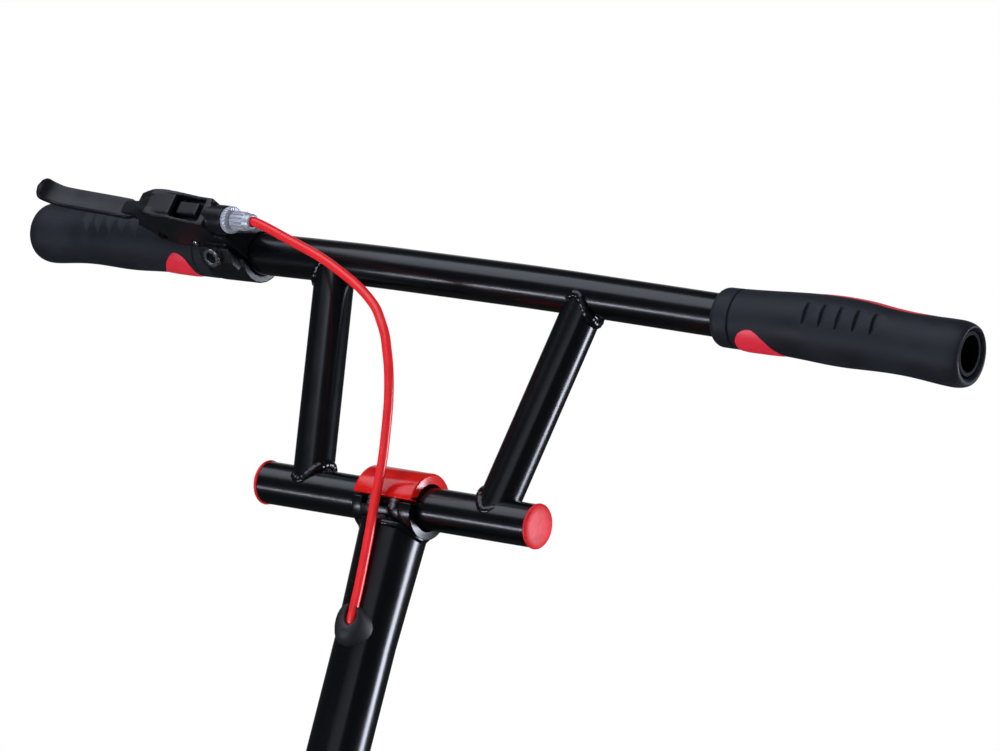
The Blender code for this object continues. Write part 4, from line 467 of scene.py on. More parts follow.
angle = np.radians(np.linspace(-90, 90, 28))
round_end = arc(0.020, angle, 0.041)
crown = np.concatenate((round_end, -round_end))
fork = [skin(steered(slab(crown, CROWN_LOW, CROWN_HIGH, 0.0035)))]
steerer_path = np.linspace((0, 0, CROWN_LOW + 0.004), (0, 0, STEERER_TOP), 8)
fork.append(skin(steered(pipe(steerer_path, STEERER_RADIUS, STEERER_WALL, 60, (1, 0, 0))), loop=True))
down = unit(LEG_FOOT - LEG_TOP)
for side in (1, -1):
    mirror = (side, 1, 1)
    near_end = 0.006 * np.array((1, 0.85, 0.6, 0.3, 0.1, 0))
    run = np.concatenate((np.linspace(0, 0.164, 30), 0.17102 - near_end))[:, None]
    round_off = np.clip(1 - (0.17102 - run[:, 0]) / 0.005, 0, 1)
    leg = tube(LEG_TOP + run * down, 0.0120 - 0.005 * (1 - np.sqrt(1 - round_off**2)), 44, (1, 0, 0))
    fork.append(skin(steered(leg * mirror)))
    ring = circle(LEG_TOP + 0.0185 * down, down, 0.0124)
    fork.append(skin(steered(tube(ring, 0.0017, 10, down, loop=True) * mirror), loop=True))
    left, right = np.radians(np.linspace(180, 246.9, 16)), np.radians(np.linspace(293.1, 360, 16))
    over = np.radians(np.linspace(180, 0, 20))
    plate = np.concatenate([arc(r, a, -FORK_OFFSET)
                            for r, a in ((0.0135, left), (0.0053, over), (0.0135, right))])
    plate = np.concatenate((plate, ((-0.0215, 0.034), (-0.0455, 0.034))))
    low, high = sorted((side * 0.0455, side * 0.0505))
    fork.append(skin(steered(slab(plate, low, high, 0.0008, 0))))
back = np.array((0, PULL[2], -PULL[1]))
tab = slab(eased(mm((-5, -4.5), (9, -4.5), (9, 30), (-5, 30)), 0.003), 0, 0.012, 0.0010)
fork.append(skin(steered(STOP - 0.012 * PULL + tab @ np.array(((1, 0, 0), back, PULL)))))
leave = np.array((0.0090, -0.0165, -0.0220))
rim = circle((0.0061, -0.0200, 0.1797), leave, 0.0040)
rim = rim + ((-0.0200 - rim[:, 1]) / leave[1])[:, None] * leave
fork.append(skin(steered(tube(rim, 0.0011, 10, (0, 1, 0), loop=True)), loop=True))
dress(piece("welded_fork", fork, [gloss_black]), "steering", "black_paint", "fork")


# Headset. Pressed cups in the head tube's ends, turned from steel and coated black, hardened races with a
# ring of loose balls between them, and the lock nut above.
def nut(sides, corner, bore, low, high, axis=2, chamfer=0.10):
    """Nut as one loop of rings. Its outside is the lesser of the flats, corner * cos(half) / cos(turn
    within the flat - half), and a limit that falls at both faces: the chamfers of a real nut."""
    turn = full_turn(40 * sides)
    flat = 2 * np.pi / sides
    flats = corner * np.cos(flat / 2) / np.cos(turn % flat - flat / 2)
    edge = 0.3 * chamfer * corner
    rows = [(bore, low + 0.0005), (bore + 0.0005, low), (corner * (1 - chamfer), low),
            (corner * (1 - chamfer / 3), low + edge), (corner, low + 2.2 * edge),
            (corner, high - 2.2 * edge), (corner * (1 - chamfer / 3), high - edge),
            (corner * (1 - chamfer), high), (bore + 0.0005, high), (bore, high - 0.0005)]
    size = np.array([np.minimum(flats, limit) if limit > bore + 0.0006 else 0 * flats + limit
                     for limit, h in rows])
    ring = [size * np.cos(turn), size * np.sin(turn)]
    ring.insert(axis, np.repeat([[h] for limit, h in rows], len(turn), 1))
    return np.stack(ring, -1)


# Zinc plating is a bright bluish grey, with faint turning marks round the pieces.
zinc = finish("zinc_plated_steel", "#b9bcc4", 0.24, 1.0, gloss=(noise(900, 3), 0.3, 0.7, 0.18, 0.34),
              relief=(noise(900, 3), 0.10, 0.0001))
MOUTH = HEAD_LOW - 0.0003 - 0.0115
BALL_RADIUS, BALL_CIRCLE, BALL_LIFT = 0.0022, 0.0177, 0.0029
cup = mm((14.8, 5.9), (21.1, 5.9), (21.1, 0.3), (21.4, 0), (22.7, 0), (23.2, 0.5), (23.2, 4.2), (22.9, 4.5),
         (22.9, 5.1), (23.2, 5.4), (23.2, 9), (22.8, 9.6), (18.7, 11.2), (18.5, 11.5), (15.9, 11.5),
         (15.9, 20.5), (14.8, 20.5))
race = mm((14.6, -4.2), (19.9, -4.2), (20.5, -3.6), (20.5, -1), (19.2, 0.3), (18.6, -0.2), (17.6, -0.6),
          (16.6, -0.2), (16, 0.3), (14.6, 0.3))
tilt = np.radians(np.linspace(-90, 90, 9))
ball = arc(BALL_RADIUS, tilt)
for name, sense, start, parts in (("lower", 1, MOUTH, "crown_race"),
                                  ("upper", -1, HEAD_LOW + HEAD_HIGH - MOUTH, "top_cone")):
    dress(piece("headset_cup_turned_" + name,
                [skin(steered(turned(cup, 96) * (1, 1, sense) + (0, 0, start)), loop=True)], [gloss_black]),
          "frame", "black_paint", "headset_cup_" + name)
    dress(piece("headset_race_ground_" + name,
                [skin(steered(turned(race, 96) * (1, 1, sense) + (0, 0, start)), loop=True)], [zinc]),
          "steering", "steel", "headset_" + parts)
    seats = [(BALL_CIRCLE * np.cos(a), BALL_CIRCLE * np.sin(a), start + sense * BALL_LIFT)
             for a in full_turn(24)]
    balls = [skin(steered(turned(ball, 16) + seat)) for seat in seats]
    dress(piece("headset_balls_" + name, balls, [zinc]), "frame", "steel", "headset_bearing_" + name)
lock_nut = skin(steered(nut(8, 0.0190, 0.0146, 0.3283, 0.3358)), loop=True)
dress(piece("headset_lock_nut_chamfered", [lock_nut], [gloss_black]), "steering", "black_paint",
      "headset_lock_nut")


# Wheels. Five-spoke wheels moulded in one piece from black glass-filled nylon, hub and rim included. The
# front hub also has the brake's cast-in drum. Steel sealed bearings run on a 10 mm axle.
HUB_HALF, BEARING_SEAT = 0.0385, 0.0123
SPOKE_FOOT, SPOKE_TIP = 0.0148, 0.1000
HUB_LEFT = {"front": 0.0120, "rear": 0.0385}
AXLE_HOLDER = {"front": "steering", "rear": "frame"}


def wheeled(points, name):
    """Points about the front axle, in the fork's leaned frame, or about the rear axle, in the world."""
    if name == "front":
        return steered(np.asarray(points, float) - (0, FORK_OFFSET, 0))
    return np.asarray(points, float) + (0, AXLE_Y, AXLE_Z)


def spoke(angle, around=44, along=26):
    """Spoke as rings from the hub's wall to the rim's. Each ring is (cos^0.35, sin^0.35) times half its
    width and depth; a recess of 1.8 mm runs along both faces, and both ends flare by e^(-distance/5 mm)."""
    r = np.linspace(SPOKE_FOOT, SPOKE_TIP, along)[:, None]
    turn = full_turn(around)[None]
    c, s = np.cos(turn), np.sin(turn)
    flare = 0.0045 * np.exp(-(r - SPOKE_FOOT) / 0.005) + 0.0050 * np.exp(-(SPOKE_TIP - r) / 0.005)
    width = (0.0100 - 0.0028 * (r - SPOKE_FOOT) / (SPOKE_TIP - SPOKE_FOOT)
             + flare) * np.sign(c) * np.abs(c)**0.35
    inside = np.clip((r - 0.030) / 0.008, 0, 1) * np.clip((0.090 - r) / 0.008, 0, 1)
    recess = 0.0018 * inside * np.clip(1.35 - np.abs(c)**2 * 2.4, 0, 1)
    depth = np.sign(s) * (0.0080 * np.abs(s)**0.35 - recess)
    r = r + 0 * depth
    return np.stack((depth, width * np.cos(angle) - r * np.sin(angle), width * np.sin(angle)
                     + r * np.cos(angle)), -1)


# Glass-filled nylon has a fine matt spark-eroded grain, and thin swirls where the melt met.
swirl = noise(26, 5, Distortion=1.6)
nylon = finish("moulded_black_nylon", "#15161a", 0.46, tones=(swirl, 0.32, 0.70, "#121317", "#1c1d22"),
               gloss=(swirl, 0.3, 0.7, 0.40, 0.54), relief=(noise(1700, 2), 0.25, 0.0001),
               Specular_IOR_Level=0.45)
rim = mm((93.5, -8), (94, -9.4), (100.5, -16), (101.5, -16.8), (103, -17), (111.5, -17), (112.3, -16.7),
         (112.5, -16), (112.5, -13.2), (112, -12.7), (106.5, -12.5))
rim = rim + [(r, -x) for r, x in rim[::-1]]
shell = {"rear": mm((17.8, 10), (17.8, 29.2), (17, 30), (17, 38), (16.5, 38.5))}
shell["front"] = mm((17, 2), (19, 6), (23, 8), (42, 8), (43.5, 8.5), (44, 9.5), (44, 13.5), (43.3, 13.8),
                    (43.3, 14.8), (44, 15.1), (44, 18.5), (43.3, 18.8), (43.3, 19.8), (44, 20.1),
                    (44, 28.4), (43.6, 29), (40.4, 29), (40, 28.6), (40, 13), (39.4, 12))
for name, left in HUB_LEFT.items():
    bore = [(BEARING_SEAT, left), (BEARING_SEAT, left - 0.0083), (0.0062, left - 0.0083), (0.0062, -0.0302),
            (BEARING_SEAT, -0.0302), (BEARING_SEAT, -HUB_HALF), (0.0165, -HUB_HALF), (0.0170, -0.0380),
            (0.0170, -0.0300), (0.0178, -0.0292), (0.0178, -0.0100), (0.0170, -0.0090)]
    skins = [skin(wheeled(turned(bore + shell[name], 120, 0), name), loop=True),
             skin(wheeled(turned(rim, 180, 0), name), loop=True)]
    skins += [skin(wheeled(spoke(2 * np.pi * k / 5), name)) for k in range(5)]
    dress(piece("moulded_wheel_" + name, skins, [nylon]), name + "_wheel", "black_plastic", name + "_wheel")


# Tyres. 12 inch by 2 inch pneumatic tyres in black rubber: two wavy grooves round the crown, slanted
# grooves between the shoulder blocks, raised rings and the mould's fine ribs on the sides.
TYRE_RADIUS, SECTION_MIDDLE, SECTION_RADIUS, INNER_RADIUS = 0.150, 0.125, 0.0250, 0.0215
GROOVE_AT, GROOVE_HALF, GROOVE_DEEP = 0.0078, 0.0012, 0.0017
SLANT_HALF, SLANT_DEEP, BLOCKS = 0.0013, 0.0015, 72


def tyre(around=864):
    """Rings of the tyre's section at each turn. The outside lies on a circle of 25 mm about r = 125 mm;
    grooves are cut where |distance| < half width, with 0.35 mm soft edges, and fade out at 23 mm."""
    turn = full_turn(around)[:, None]
    phi = np.radians(np.concatenate((np.linspace(-118, -56, 16, endpoint=False),
                                     np.linspace(-56, 56, 56, endpoint=False),
                                     np.linspace(56, 118, 17))))[None]
    across, along = SECTION_RADIUS * phi + 0 * turn, TYRE_RADIUS * turn + 0 * phi
    wave = 0.0014 * np.sin(36 * turn)
    crown = GROOVE_HALF - np.abs(np.abs(across) - GROOVE_AT - wave)
    pitch = 2 * np.pi * TYRE_RADIUS / BLOCKS
    slant = (along + 0.75 * np.abs(across) + np.where(across > 0, pitch / 2, 0)) % pitch - pitch / 2
    side = SLANT_HALF - np.abs(slant)
    cut = GROOVE_DEEP * np.clip(crown / 0.0007 + 0.5, 0, 1)
    block = np.clip((np.abs(across) - 0.0080) / 0.0006, 0, 1)
    block = block * np.clip((0.0228 - np.abs(across)) / 0.0015, 0, 1)
    cut = np.maximum(cut, SLANT_DEEP * block * np.clip(side / 0.0007 + 0.5, 0, 1))
    wall = np.abs(np.degrees(phi))
    lift = 0.0004 * np.exp(-((wall - 72) / 1.6)**2) + 0.0003 * np.exp(-((wall - 96) / 1.4)**2)
    size = SECTION_RADIUS - cut - np.where(wall > 60, 0.0004 - lift, 0)
    outside = np.stack((size * np.sin(phi), SECTION_MIDDLE + size * np.cos(phi)), -1)
    inner = np.radians(np.linspace(106, -106, 13))
    inside = np.stack((INNER_RADIUS * np.sin(inner), SECTION_MIDDLE + INNER_RADIUS * np.cos(inner)), 1)
    foot = mm((12.2, 113.7), (12.2, 106.8), (7.7, 106.8), (7.7, 117.2))
    rest = np.array(foot + inside.tolist() + [(-x, r) for x, r in foot[::-1]])
    section = np.concatenate((outside, np.broadcast_to(rest, (around, *rest.shape))), 1)
    x, r = section[..., 0], section[..., 1]
    return np.stack((x, r * np.sin(turn), r * np.cos(turn)), -1)


# Tyre rubber is a dull black that greys with dust, most of all down in the tread.
dust = noise(32, 5, Roughness=0.65)
rubber = finish("tyre_rubber", "#1b1b1d", 0.70, tones=(dust, 0.34, 0.72, "#171719", "#242426"),
                gloss=(dust, 0.3, 0.7, 0.62, 0.80), relief=(noise(2300, 2), 0.30, 0.0002))
rows = np.swapaxes(tyre(), 0, 1)
for name in HUB_LEFT:
    dress(piece("treaded_tyre_" + name, [skin(wheeled(rows, name), loop=True)], [rubber], 50),
          name + "_wheel", "black_rubber", name + "_tyre")


# Axles, nuts and bearings. Zinc plated axles with a collar beside each bearing and rolled threads at the
# ends, flanged hexagon nuts, and bearings with black rubber seals between their ground rings.
soft_rubber = finish("black_moulded_rubber", "#17181b", 0.55, gloss=(noise(2600, 2), 0.3, 0.7, 0.46, 0.62),
                     relief=(noise(2600, 2), 0.2, 0.0001))


def threaded(radius, start, stop, pitch, deep):
    """Profile points of a thread drawn as close rings: crest, root, crest along its length."""
    count = int(round(abs(stop - start) / pitch))
    at = np.linspace(start, stop, 2 * count + 1)
    return [(radius - (deep if k % 2 else 0), x) for k, x in enumerate(at)]


for name, left in HUB_LEFT.items():
    spindle = [(0, -0.0621), (0.0042, -0.0621)] + threaded(0.0050, -0.0614, -0.0514, 0.00125, 0.0005)
    spindle += mm((5, -45.3), (8, -45.2), (8.5, -44.7), (8.5, -39.3), (8, -38.8), (5, -38.8))
    if name == "rear":
        spindle += [(r, -x) for r, x in spindle[:-7:-1]]
    spindle += threaded(0.0050, 0.0514, 0.0614, 0.00125, 0.0005) + [(0.0042, 0.0621), (0, 0.0621)]
    dress(piece("threaded_axle_" + name, [skin(wheeled(turned(spindle, 60, 0), name))], [zinc]),
          AXLE_HOLDER[name], "steel", name + "_axle")
    for side, sign in (("left", 1), ("right", -1)):
        rows = nut(6, 0.0098, 0.0052, 0.0508, 0.0588, 0)
        dress(piece(f"axle_nut_chamfered_{name}_{side}",
                    [skin(wheeled(rows * (sign, 1, 1), name), loop=True)], [zinc]), AXLE_HOLDER[name],
              "steel", f"{name}_axle_nut_{side}")
        middle = left - 0.0040 if sign > 0 else 0.0040 - HUB_HALF
        outer = mm((10.3, -4), (11.7, -4), (12, -3.7), (12, 3.7), (11.7, 4), (10.3, 4))
        inner = mm((5.3, -4), (7.1, -4), (7.1, 4), (5.3, 4))
        seal = mm((7, -3.4), (7.8, -3.7), (8.6, -3.4), (10.4, -3.5), (10.4, 3.5), (8.6, 3.4), (7.8, 3.7),
                  (7, 3.4))
        skins = [skin(wheeled(turned(ring, 72, 0, (middle, 0, 0)), name), loop=True, slot=slot)
                 for ring, slot in ((outer, 0), (inner, 0), (seal, 1))]
        dress(piece(f"sealed_bearing_{name}_{side}", skins, [zinc, soft_rubber]), name + "_wheel", "steel",
              f"{name}_bearing_{side}")


# Drum brake. A cast aluminium backing plate on the axle's left, held from turning by two lugs beside the
# fork's leg, two shoes with bonded linings on an anchor pin, and a zinc plated cam lever outside.
cast = finish("cast_aluminium", "#a9abb0", 0.42, 1.0,
              tones=(noise(80, 4), 0.32, 0.70, "#9b9da3", "#b5b7bc"),
              gloss=(noise(1500, 3), 0.3, 0.7, 0.36, 0.54), relief=(noise(1500, 3), 0.35, 0.0001))
CAM_PLACE = CAM + (0, FORK_OFFSET, 0)
cam_turn = np.arctan2(CAM_PLACE[2], CAM_PLACE[1])
PIN_PLACE = -CAM_PLACE
disc = mm((5.3, 12.6), (8, 12.6), (8.5, 13.1), (8.5, 28.5), (10.5, 30.2), (29, 30.2), (30, 30.8),
          (38.5, 30.8), (39.5, 30.2), (42.8, 30.2), (43.5, 30.8), (43.5, 32.5), (42.8, 33.2), (39.8, 33.2),
          (38.8, 32.6), (30, 32.6), (29, 33.2), (11, 33.2), (9, 35), (9, 44.7), (8.5, 45.2), (5.3, 45.2))
plate = [skin(wheeled(turned(disc, 120, 0), "front"), loop=True)]
for low, high in ((-0.0172, -0.0122), (0.0122, 0.0172)):
    lug = eased([(0.0312, 0.0055 + low), (0.0420, 0.0055 + low), (0.0420, 0.0055 + high),
                 (0.0312, 0.0055 + high)], 0.0014)
    plate.append(skin(wheeled(slab(lug, 0.030, 0.036, 0.0010), "front")))
pin = mm((0, 14), (3.5, 14), (4, 14.5), (4, 31.2), (0, 31.2))
plate.append(skin(wheeled(turned(pin, 40, 0, PIN_PLACE), "front")))
dress(piece("cast_brake_plate", plate, [cast]), "steering", "aluminium", "brake_plate")

# Linings are bonded friction material, a speckled brown-grey with flecks of brass.
flecks = "ShaderNodeTexVoronoi", "Distance", {"Scale": 1100.0}
lining = finish("bonded_brake_lining", "#4a423b", 0.82, tones=(flecks, 0.10, 0.30, "#7d6a4c", "#443d38"),
                relief=(flecks, 0.3, 0.0002))


def half_ring(outer, inner, first, last, low, high, edge):
    """Slab of a half ring between two radii and two turns about the axle, with eased corners."""
    run = np.linspace(first, last, 60)
    ring = np.concatenate((arc(outer, run), arc(inner, run[::-1])))
    return slab(ring, low, high, edge, 0)


for name, side in (("rear", 1), ("front", -1)):
    first, last = sorted(cam_turn + np.pi + side * np.radians((8, 172)))
    web = half_ring(0.0352, 0.0310, first, last, 0.0180, 0.0230, 0.0004)
    table = half_ring(0.0368, 0.0350, first, last, 0.0140, 0.0270, 0.0003)
    pad = half_ring(0.0390, 0.0366, first + 0.12, last - 0.12, 0.0142, 0.0268, 0.0003)
    dress(piece("lined_brake_shoe_" + name, [skin(wheeled(rows, "front"), slot=slot)
                                             for rows, slot in ((web, 0), (table, 0), (pad, 1))],
                [cast, lining]), "brake_shoe_" + name, "aluminium", "brake_shoe_" + name)


def along_arm(points):
    """Points of the cam's frame, X out of the wheel and Y along the arm, in the world."""
    lie = np.array((0, -ARM_LIE[2], ARM_LIE[1]))
    return steered(CAM + np.asarray(points, float) @ np.array(((1, 0, 0), ARM_LIE, lie)))


ends = np.radians(np.linspace(90, 270, 22)), np.radians(np.linspace(-90, 90, 22))
arm = np.concatenate([arc(r, a, at) for a, at, r in ((ends[0], 0, 0.0060), (ends[1], 0.045, 0.00504))])
cam = eased(mm((-5.5, -3.5), (5.5, -3.5), (5.5, 3.5), (-5.5, 3.5)), 0.0020)
shaft = mm((0, 26), (4.2, 26), (4.2, 37), (3.8, 38.5), (2, 38.5), (1.5, 38), (0, 38))
barrel = mm((0, 32), (4.1, 32), (4.5, 32.4), (4.5, 37.6), (4.1, 38), (2.4, 38), (2.1, 37.7), (2.1, 36.6),
            (0, 36.6))
turn_back = np.array(((np.cos(cam_turn), np.sin(cam_turn)), (-np.sin(cam_turn), np.cos(cam_turn))))
lever = [skin(along_arm(slab(arm, 0.0335, 0.0365, 0.0006, 0))),
         skin(steered(slab(cam @ turn_back, 0.0140, 0.0270, 0.0004, 0) + CAM)),
         skin(steered(turned(shaft, 44, 0, CAM))), skin(along_arm(turned(barrel, 44, 0, (0, 0.045, 0))))]
dress(piece("forged_brake_cam_arm", lever, [zinc]), "brake_cam_arm", "steel", "brake_cam_arm")


# Brake wire. Bright galvanised strands laid up in a rope of 1.6 mm, bare between the cable's
# stop and the arm, and again between the lever and the adjuster.
def strands(start, stop, radius=0.0008):
    """Rope between two points: radius * (0.88 + 0.12 |cos(3 (turn - lay))|), six strands round one, the
    lay growing one turn each 11 mm of length."""
    start, stop = np.asarray(start, float), np.asarray(stop, float)
    length = np.linalg.norm(stop - start)
    run = np.linspace(0, 1, max(8, int(length / 0.00045)))[:, None]
    path = start + run * (stop - start)
    rows = tube(path, 1.0, 36, (1, 0, 0) if abs(stop[0] - start[0]) < 0.9 * length else (0, 0, 1))
    turn = full_turn(36)[None]
    size = radius * (0.88 + 0.12 * np.abs(np.cos(3 * (turn - 2 * np.pi * run * length / 0.011))))
    return path[:, None] + (rows - path[:, None]) * size[..., None]


dress(piece("stranded_wire_lower", [skin(steered(strands(STOP - 0.0003 * PULL, ARM_END + 0.001 * PULL)))],
            [zinc], 60), "steering", "steel", "brake_wire_lower")


# Deck. A moulded nylon footboard on the frame's rails, notched round the down tube, with the wheels'
# matt grain, a sheet of grip tape on top, and two countersunk screws into the cross tubes.
DECK_LOW, DECK_HIGH = 0.0863, 0.0963
DECK_FRONT, DECK_REAR, NOTCH_END = -0.110, 0.218, -0.050


def deck_plan(margin):
    """Outline of the deck, moved inwards: round corners, and a U-shaped notch in front."""
    half, corner, notch = 0.0625 - margin, 0.020 - margin / 2, 0.022 + margin
    front, rear = DECK_FRONT + margin, DECK_REAR - margin
    parts = ((half - corner, rear - corner, corner, 0, 90), (corner - half, rear - corner, corner, 90, 180),
             (corner - half, front + corner, corner, 180, 270),
             (-notch - 0.004, front + 0.004, 0.004, 270, 360), (0, NOTCH_END - 0.022, notch, 180, 0),
             (notch + 0.004, front + 0.004, 0.004, 180, 270),
             (half - corner, front + corner, corner, 270, 360))
    return np.concatenate([arc(r, np.radians(np.linspace(first, last, 22)), x, y)
                           for x, y, r, first, last in parts])


dress(piece("moulded_footboard", [skin(slab(deck_plan(0), DECK_LOW, DECK_HIGH, 0.0024))], [nylon]), "frame",
      "black_plastic", "deck_plate")

# Grip tape: silicon carbide grit of 0.3 to 0.5 mm in black resin. The grains catch the light singly.
grit_tape = finish("silicon_carbide_grip_tape", "#1b1b1d", 0.85)
tree = grit_tape.node_tree
shader, here = tree.nodes["Principled BSDF"], tree.nodes["Texture Coordinate"].outputs["Object"]
grains = add(tree, "ShaderNodeTexVoronoi", ("Vector", here), ("Scale", 2200.0))
patch = add(tree, "ShaderNodeTexNoise", ("Vector", here), ("Scale", 22.0), ("Detail", 5.0))
spark = add(tree, "ShaderNodeSeparateColor", ("Color", grains.outputs["Color"]))
shade = add(tree, "ShaderNodeMix", ("Factor", spark.outputs[0]), (6, linear("#121214")),
            (7, linear("#2f2f33")), data_type="RGBA")
worn = add(tree, "ShaderNodeMapRange", ("Value", patch.outputs["Fac"]), ("From Min", 0.45),
           ("From Max", 0.75), ("To Min", 0.0), ("To Max", 0.35))
dusty = add(tree, "ShaderNodeMix", ("Factor", worn.outputs["Result"]), (6, shade.outputs[2]),
            (7, linear("#3a3938")), data_type="RGBA")
tree.links.new(dusty.outputs[2], shader.inputs["Base Color"])
gloss = add(tree, "ShaderNodeMapRange", ("Value", spark.outputs[1]), ("To Min", 0.35), ("To Max", 0.95))
tree.links.new(gloss.outputs["Result"], shader.inputs["Roughness"])
bump = add(tree, "ShaderNodeBump", ("Strength", 0.9), ("Distance", 0.0004),
           ("Height", grains.outputs["Distance"]), invert=True)
tree.links.new(bump.outputs["Normal"], shader.inputs["Normal"])
dress(piece("grip_tape_sheet",
            [skin(slab(deck_plan(0.008), DECK_HIGH + 0.0003, DECK_HIGH + 0.0015, 0.0004))], [grit_tape]),
      "frame", "grip_tape", "grip_tape")
screw = mm((0, 73), (2.2, 73), (2.5, 73.4), (2.5, 92.5), (5, 95.8), (5, 96.3), (4.6, 96.5), (1.6, 96.5),
           (1.5, 96.3), (1.5, 95), (0, 95))
screws = [skin(turned(screw, 48, 2, (0, y, 0))) for y in (-0.030, 0.190)]
dress(piece("countersunk_deck_screws", screws, [zinc]), "frame", "steel", "deck_screw_front",
      "deck_screw_rear")


# Stand. One bright zinc plated rod of 10 mm, bent to a leg and a foot on each side, in the frame's sleeve.
ROD_RADIUS = 0.0050
leg = smooth(mm((27, 0, 0), (34, 0, -1), (40, -1, -5), (73, -8.5, -36.5), (79, -9.7, -42.2), (86, -10, -44),
                (94.5, -10, -44)), 70)
tip = np.array(mm((95.1, -10, -44), (95.6, -10, -44), (95.9, -10, -44), (96, -10, -44)))
leg = np.concatenate((leg, tip))
rod = np.concatenate((leg[::-1] * (-1, 1, 1), leg)) + STAND_AXIS
size = np.full(len(rod), ROD_RADIUS)
size[:4] = ROD_RADIUS - 0.0012 * np.array((1.0, 0.5, 0.2, 0.05))
size[-4:] = size[:4][::-1]
dress(piece("bent_rod_stand", [skin(tube(rod, size, 40))], [zinc]), "stand", "steel", "stand")


# Column. Steel tube over the steerer, a little flared at its top, with a saddle for the crossbar welded
# across it and a saw cut behind its foot for the clamp collar, all coated in the frame's gloss black.
BAR_PIVOT = 0.658
COLUMN_FOOT, CUT_END, CUT_HALF = 0.343 - BAR_PIVOT, 0.389 - BAR_PIVOT, 0.00125
COLUMN_RADIUS, COLUMN_WALL, FLARE_RADIUS, FLARE_LENGTH = 0.0159, 0.0015, 0.0178, 0.0620
CLAMP_HALF, SEAT_RADIUS, SADDLE_RADIUS, RIM_FRONT = 0.0190, 0.0114, 0.0166, -0.0125


def clamped(points):
    """Points about the crossbar's axis while the bar is at rest, in the world."""
    return steered(np.asarray(points, float) + (0, 0, BAR_PIVOT))


def rim(ring):
    """Height of the column's top at points of its plan: along the saddle's round, -sqrt(R^2 - y^2), and
    in front and behind no higher than a slope of 1.1 that starts at the flare's edge, as welded."""
    inward = FLARE_RADIUS - np.linalg.norm(ring, axis=1)
    return np.minimum(0.0006 - np.sqrt(np.maximum(SADDLE_RADIUS**2 - ring[:, 1]**2, 0)), RIM_FRONT
                      + 1.1 * inward)


turn = full_turn(144)
flat = arc(1.0, turn)
rows = []
for height in np.concatenate((np.linspace(CUT_END - 0.0005, -0.0760, 40),
                              np.linspace(-0.0731, -0.0230, 30))):
    wide = COLUMN_RADIUS + (FLARE_RADIUS - COLUMN_RADIUS) * np.clip((height + 0.0731) / FLARE_LENGTH, 0, 1)
    rows.append(np.column_stack((wide * flat, np.full(144, height))))
for share in np.linspace(0.12, 1, 8):
    ring = (wide + (FLARE_RADIUS - wide) * share) * flat
    rows.append(np.column_stack((ring, -0.0230 + share * (rim(FLARE_RADIUS * flat) + 0.0230))))
for share in (0.96, 0.92, 0.88, 0.84, 0.8, 0.76, 0.7, 0.6, 0.4, 0.2, 0.0):
    ring = FLARE_RADIUS * share * flat
    rows.append(np.column_stack((ring, rim(ring))))
column = [skin(clamped(np.array(rows)))]
around = [np.arccos(CUT_HALF / radius) for radius in (COLUMN_RADIUS, COLUMN_RADIUS - COLUMN_WALL)]
out, back = np.linspace(around[0], -np.pi - around[0], 90), np.linspace(-np.pi - around[1], around[1], 90)
slit = np.concatenate((arc(COLUMN_RADIUS, out), arc(COLUMN_RADIUS - COLUMN_WALL, back)))
column.append(skin(clamped(slab(slit, COLUMN_FOOT, CUT_END, 0.0002))))
for left, right, lip in ((-0.0190, -0.0128, -0.0012), (-0.0134, 0.0116, -0.0047),
                         (0.0110, 0.0190, -0.0012)):
    low, high = np.arcsin(lip / SADDLE_RADIUS), np.arcsin(lip / SEAT_RADIUS)
    under, over = np.linspace(low, -np.pi - low, 48), np.linspace(-np.pi - high, high, 40)
    saddle = np.concatenate((arc(SADDLE_RADIUS, under), arc(SEAT_RADIUS, over)))
    column.append(skin(clamped(slab(eased(saddle, 0.0010, 4), left, right, 0.0008, 0))))
bead = 0.0173 * flat
ripples = 1 + 0.05 * np.sin(5 * turn) + 0.03 * np.sin(42 * turn)
bead = tube(np.column_stack((bead, rim(FLARE_RADIUS * flat) - 0.0004)), 0.0019 * ripples, 12, loop=True)
column.append(skin(clamped(bead), loop=True))
dress(piece("flared_column", column, [gloss_black], 40), "steering", "black_paint", "column")


# Clamp. An arched cap of red coated alloy holds the crossbar down on four zinc plated studs. Their
# collars show as bright rings in the gap between the cap's lips and the saddle's.
CAP_TOP, CAP_RADIUS, CAP_LIP = 0.0180, 0.0172, 0.0005
middle = CAP_TOP - CAP_RADIUS
dip = np.arcsin((CAP_LIP - middle) / CAP_RADIUS)
shut = np.arcsin(CAP_LIP / SEAT_RADIUS)
out = np.linspace(dip, np.pi - dip, 56)
back = np.linspace(np.pi - shut, shut, 44)
arch = np.concatenate((arc(CAP_RADIUS, out, 0, middle), arc(SEAT_RADIUS, back)))
arch = eased(np.roll(arch, 3, 0), 0.0011, 4)
red_coat = finish("red_powder_coat", "#c3141a", 0.17, tones=(noise(70, 3), 0.3, 0.7, "#b60e0e", "#da1c14"),
                  relief=(noise(560, 1), 0.06, 0.0002), Specular_IOR_Level=0.4)
dress(piece("clamp_cap_arched", [skin(clamped(slab(arch, -CLAMP_HALF, CLAMP_HALF, 0.0013, 0)))], [red_coat],
            40), "steering", "red_paint", "clamp_cap")

stud = mm((0, -5.6), (2, -5.6), (2, -5), (2.45, -5), (2.75, -4.7), (2.75, -3.1), (2.45, -2.8), (2.45, -2.2),
          (2.75, -1.8), (2.75, -0.2), (2.45, 0.2), (2, 0.2), (2, 4.2), (0, 4.2))
studs = [skin(clamped(turned(stud, 36, 2, (x, y, 0)))) for x in (-0.007, 0.007) for y in (-0.0142, 0.0142)]
dress(piece("clamp_studs", studs, [zinc]), "steering", "steel", "clamp_bolt_front_left",
      "clamp_bolt_front_right", "clamp_bolt_rear_left", "clamp_bolt_rear_right")


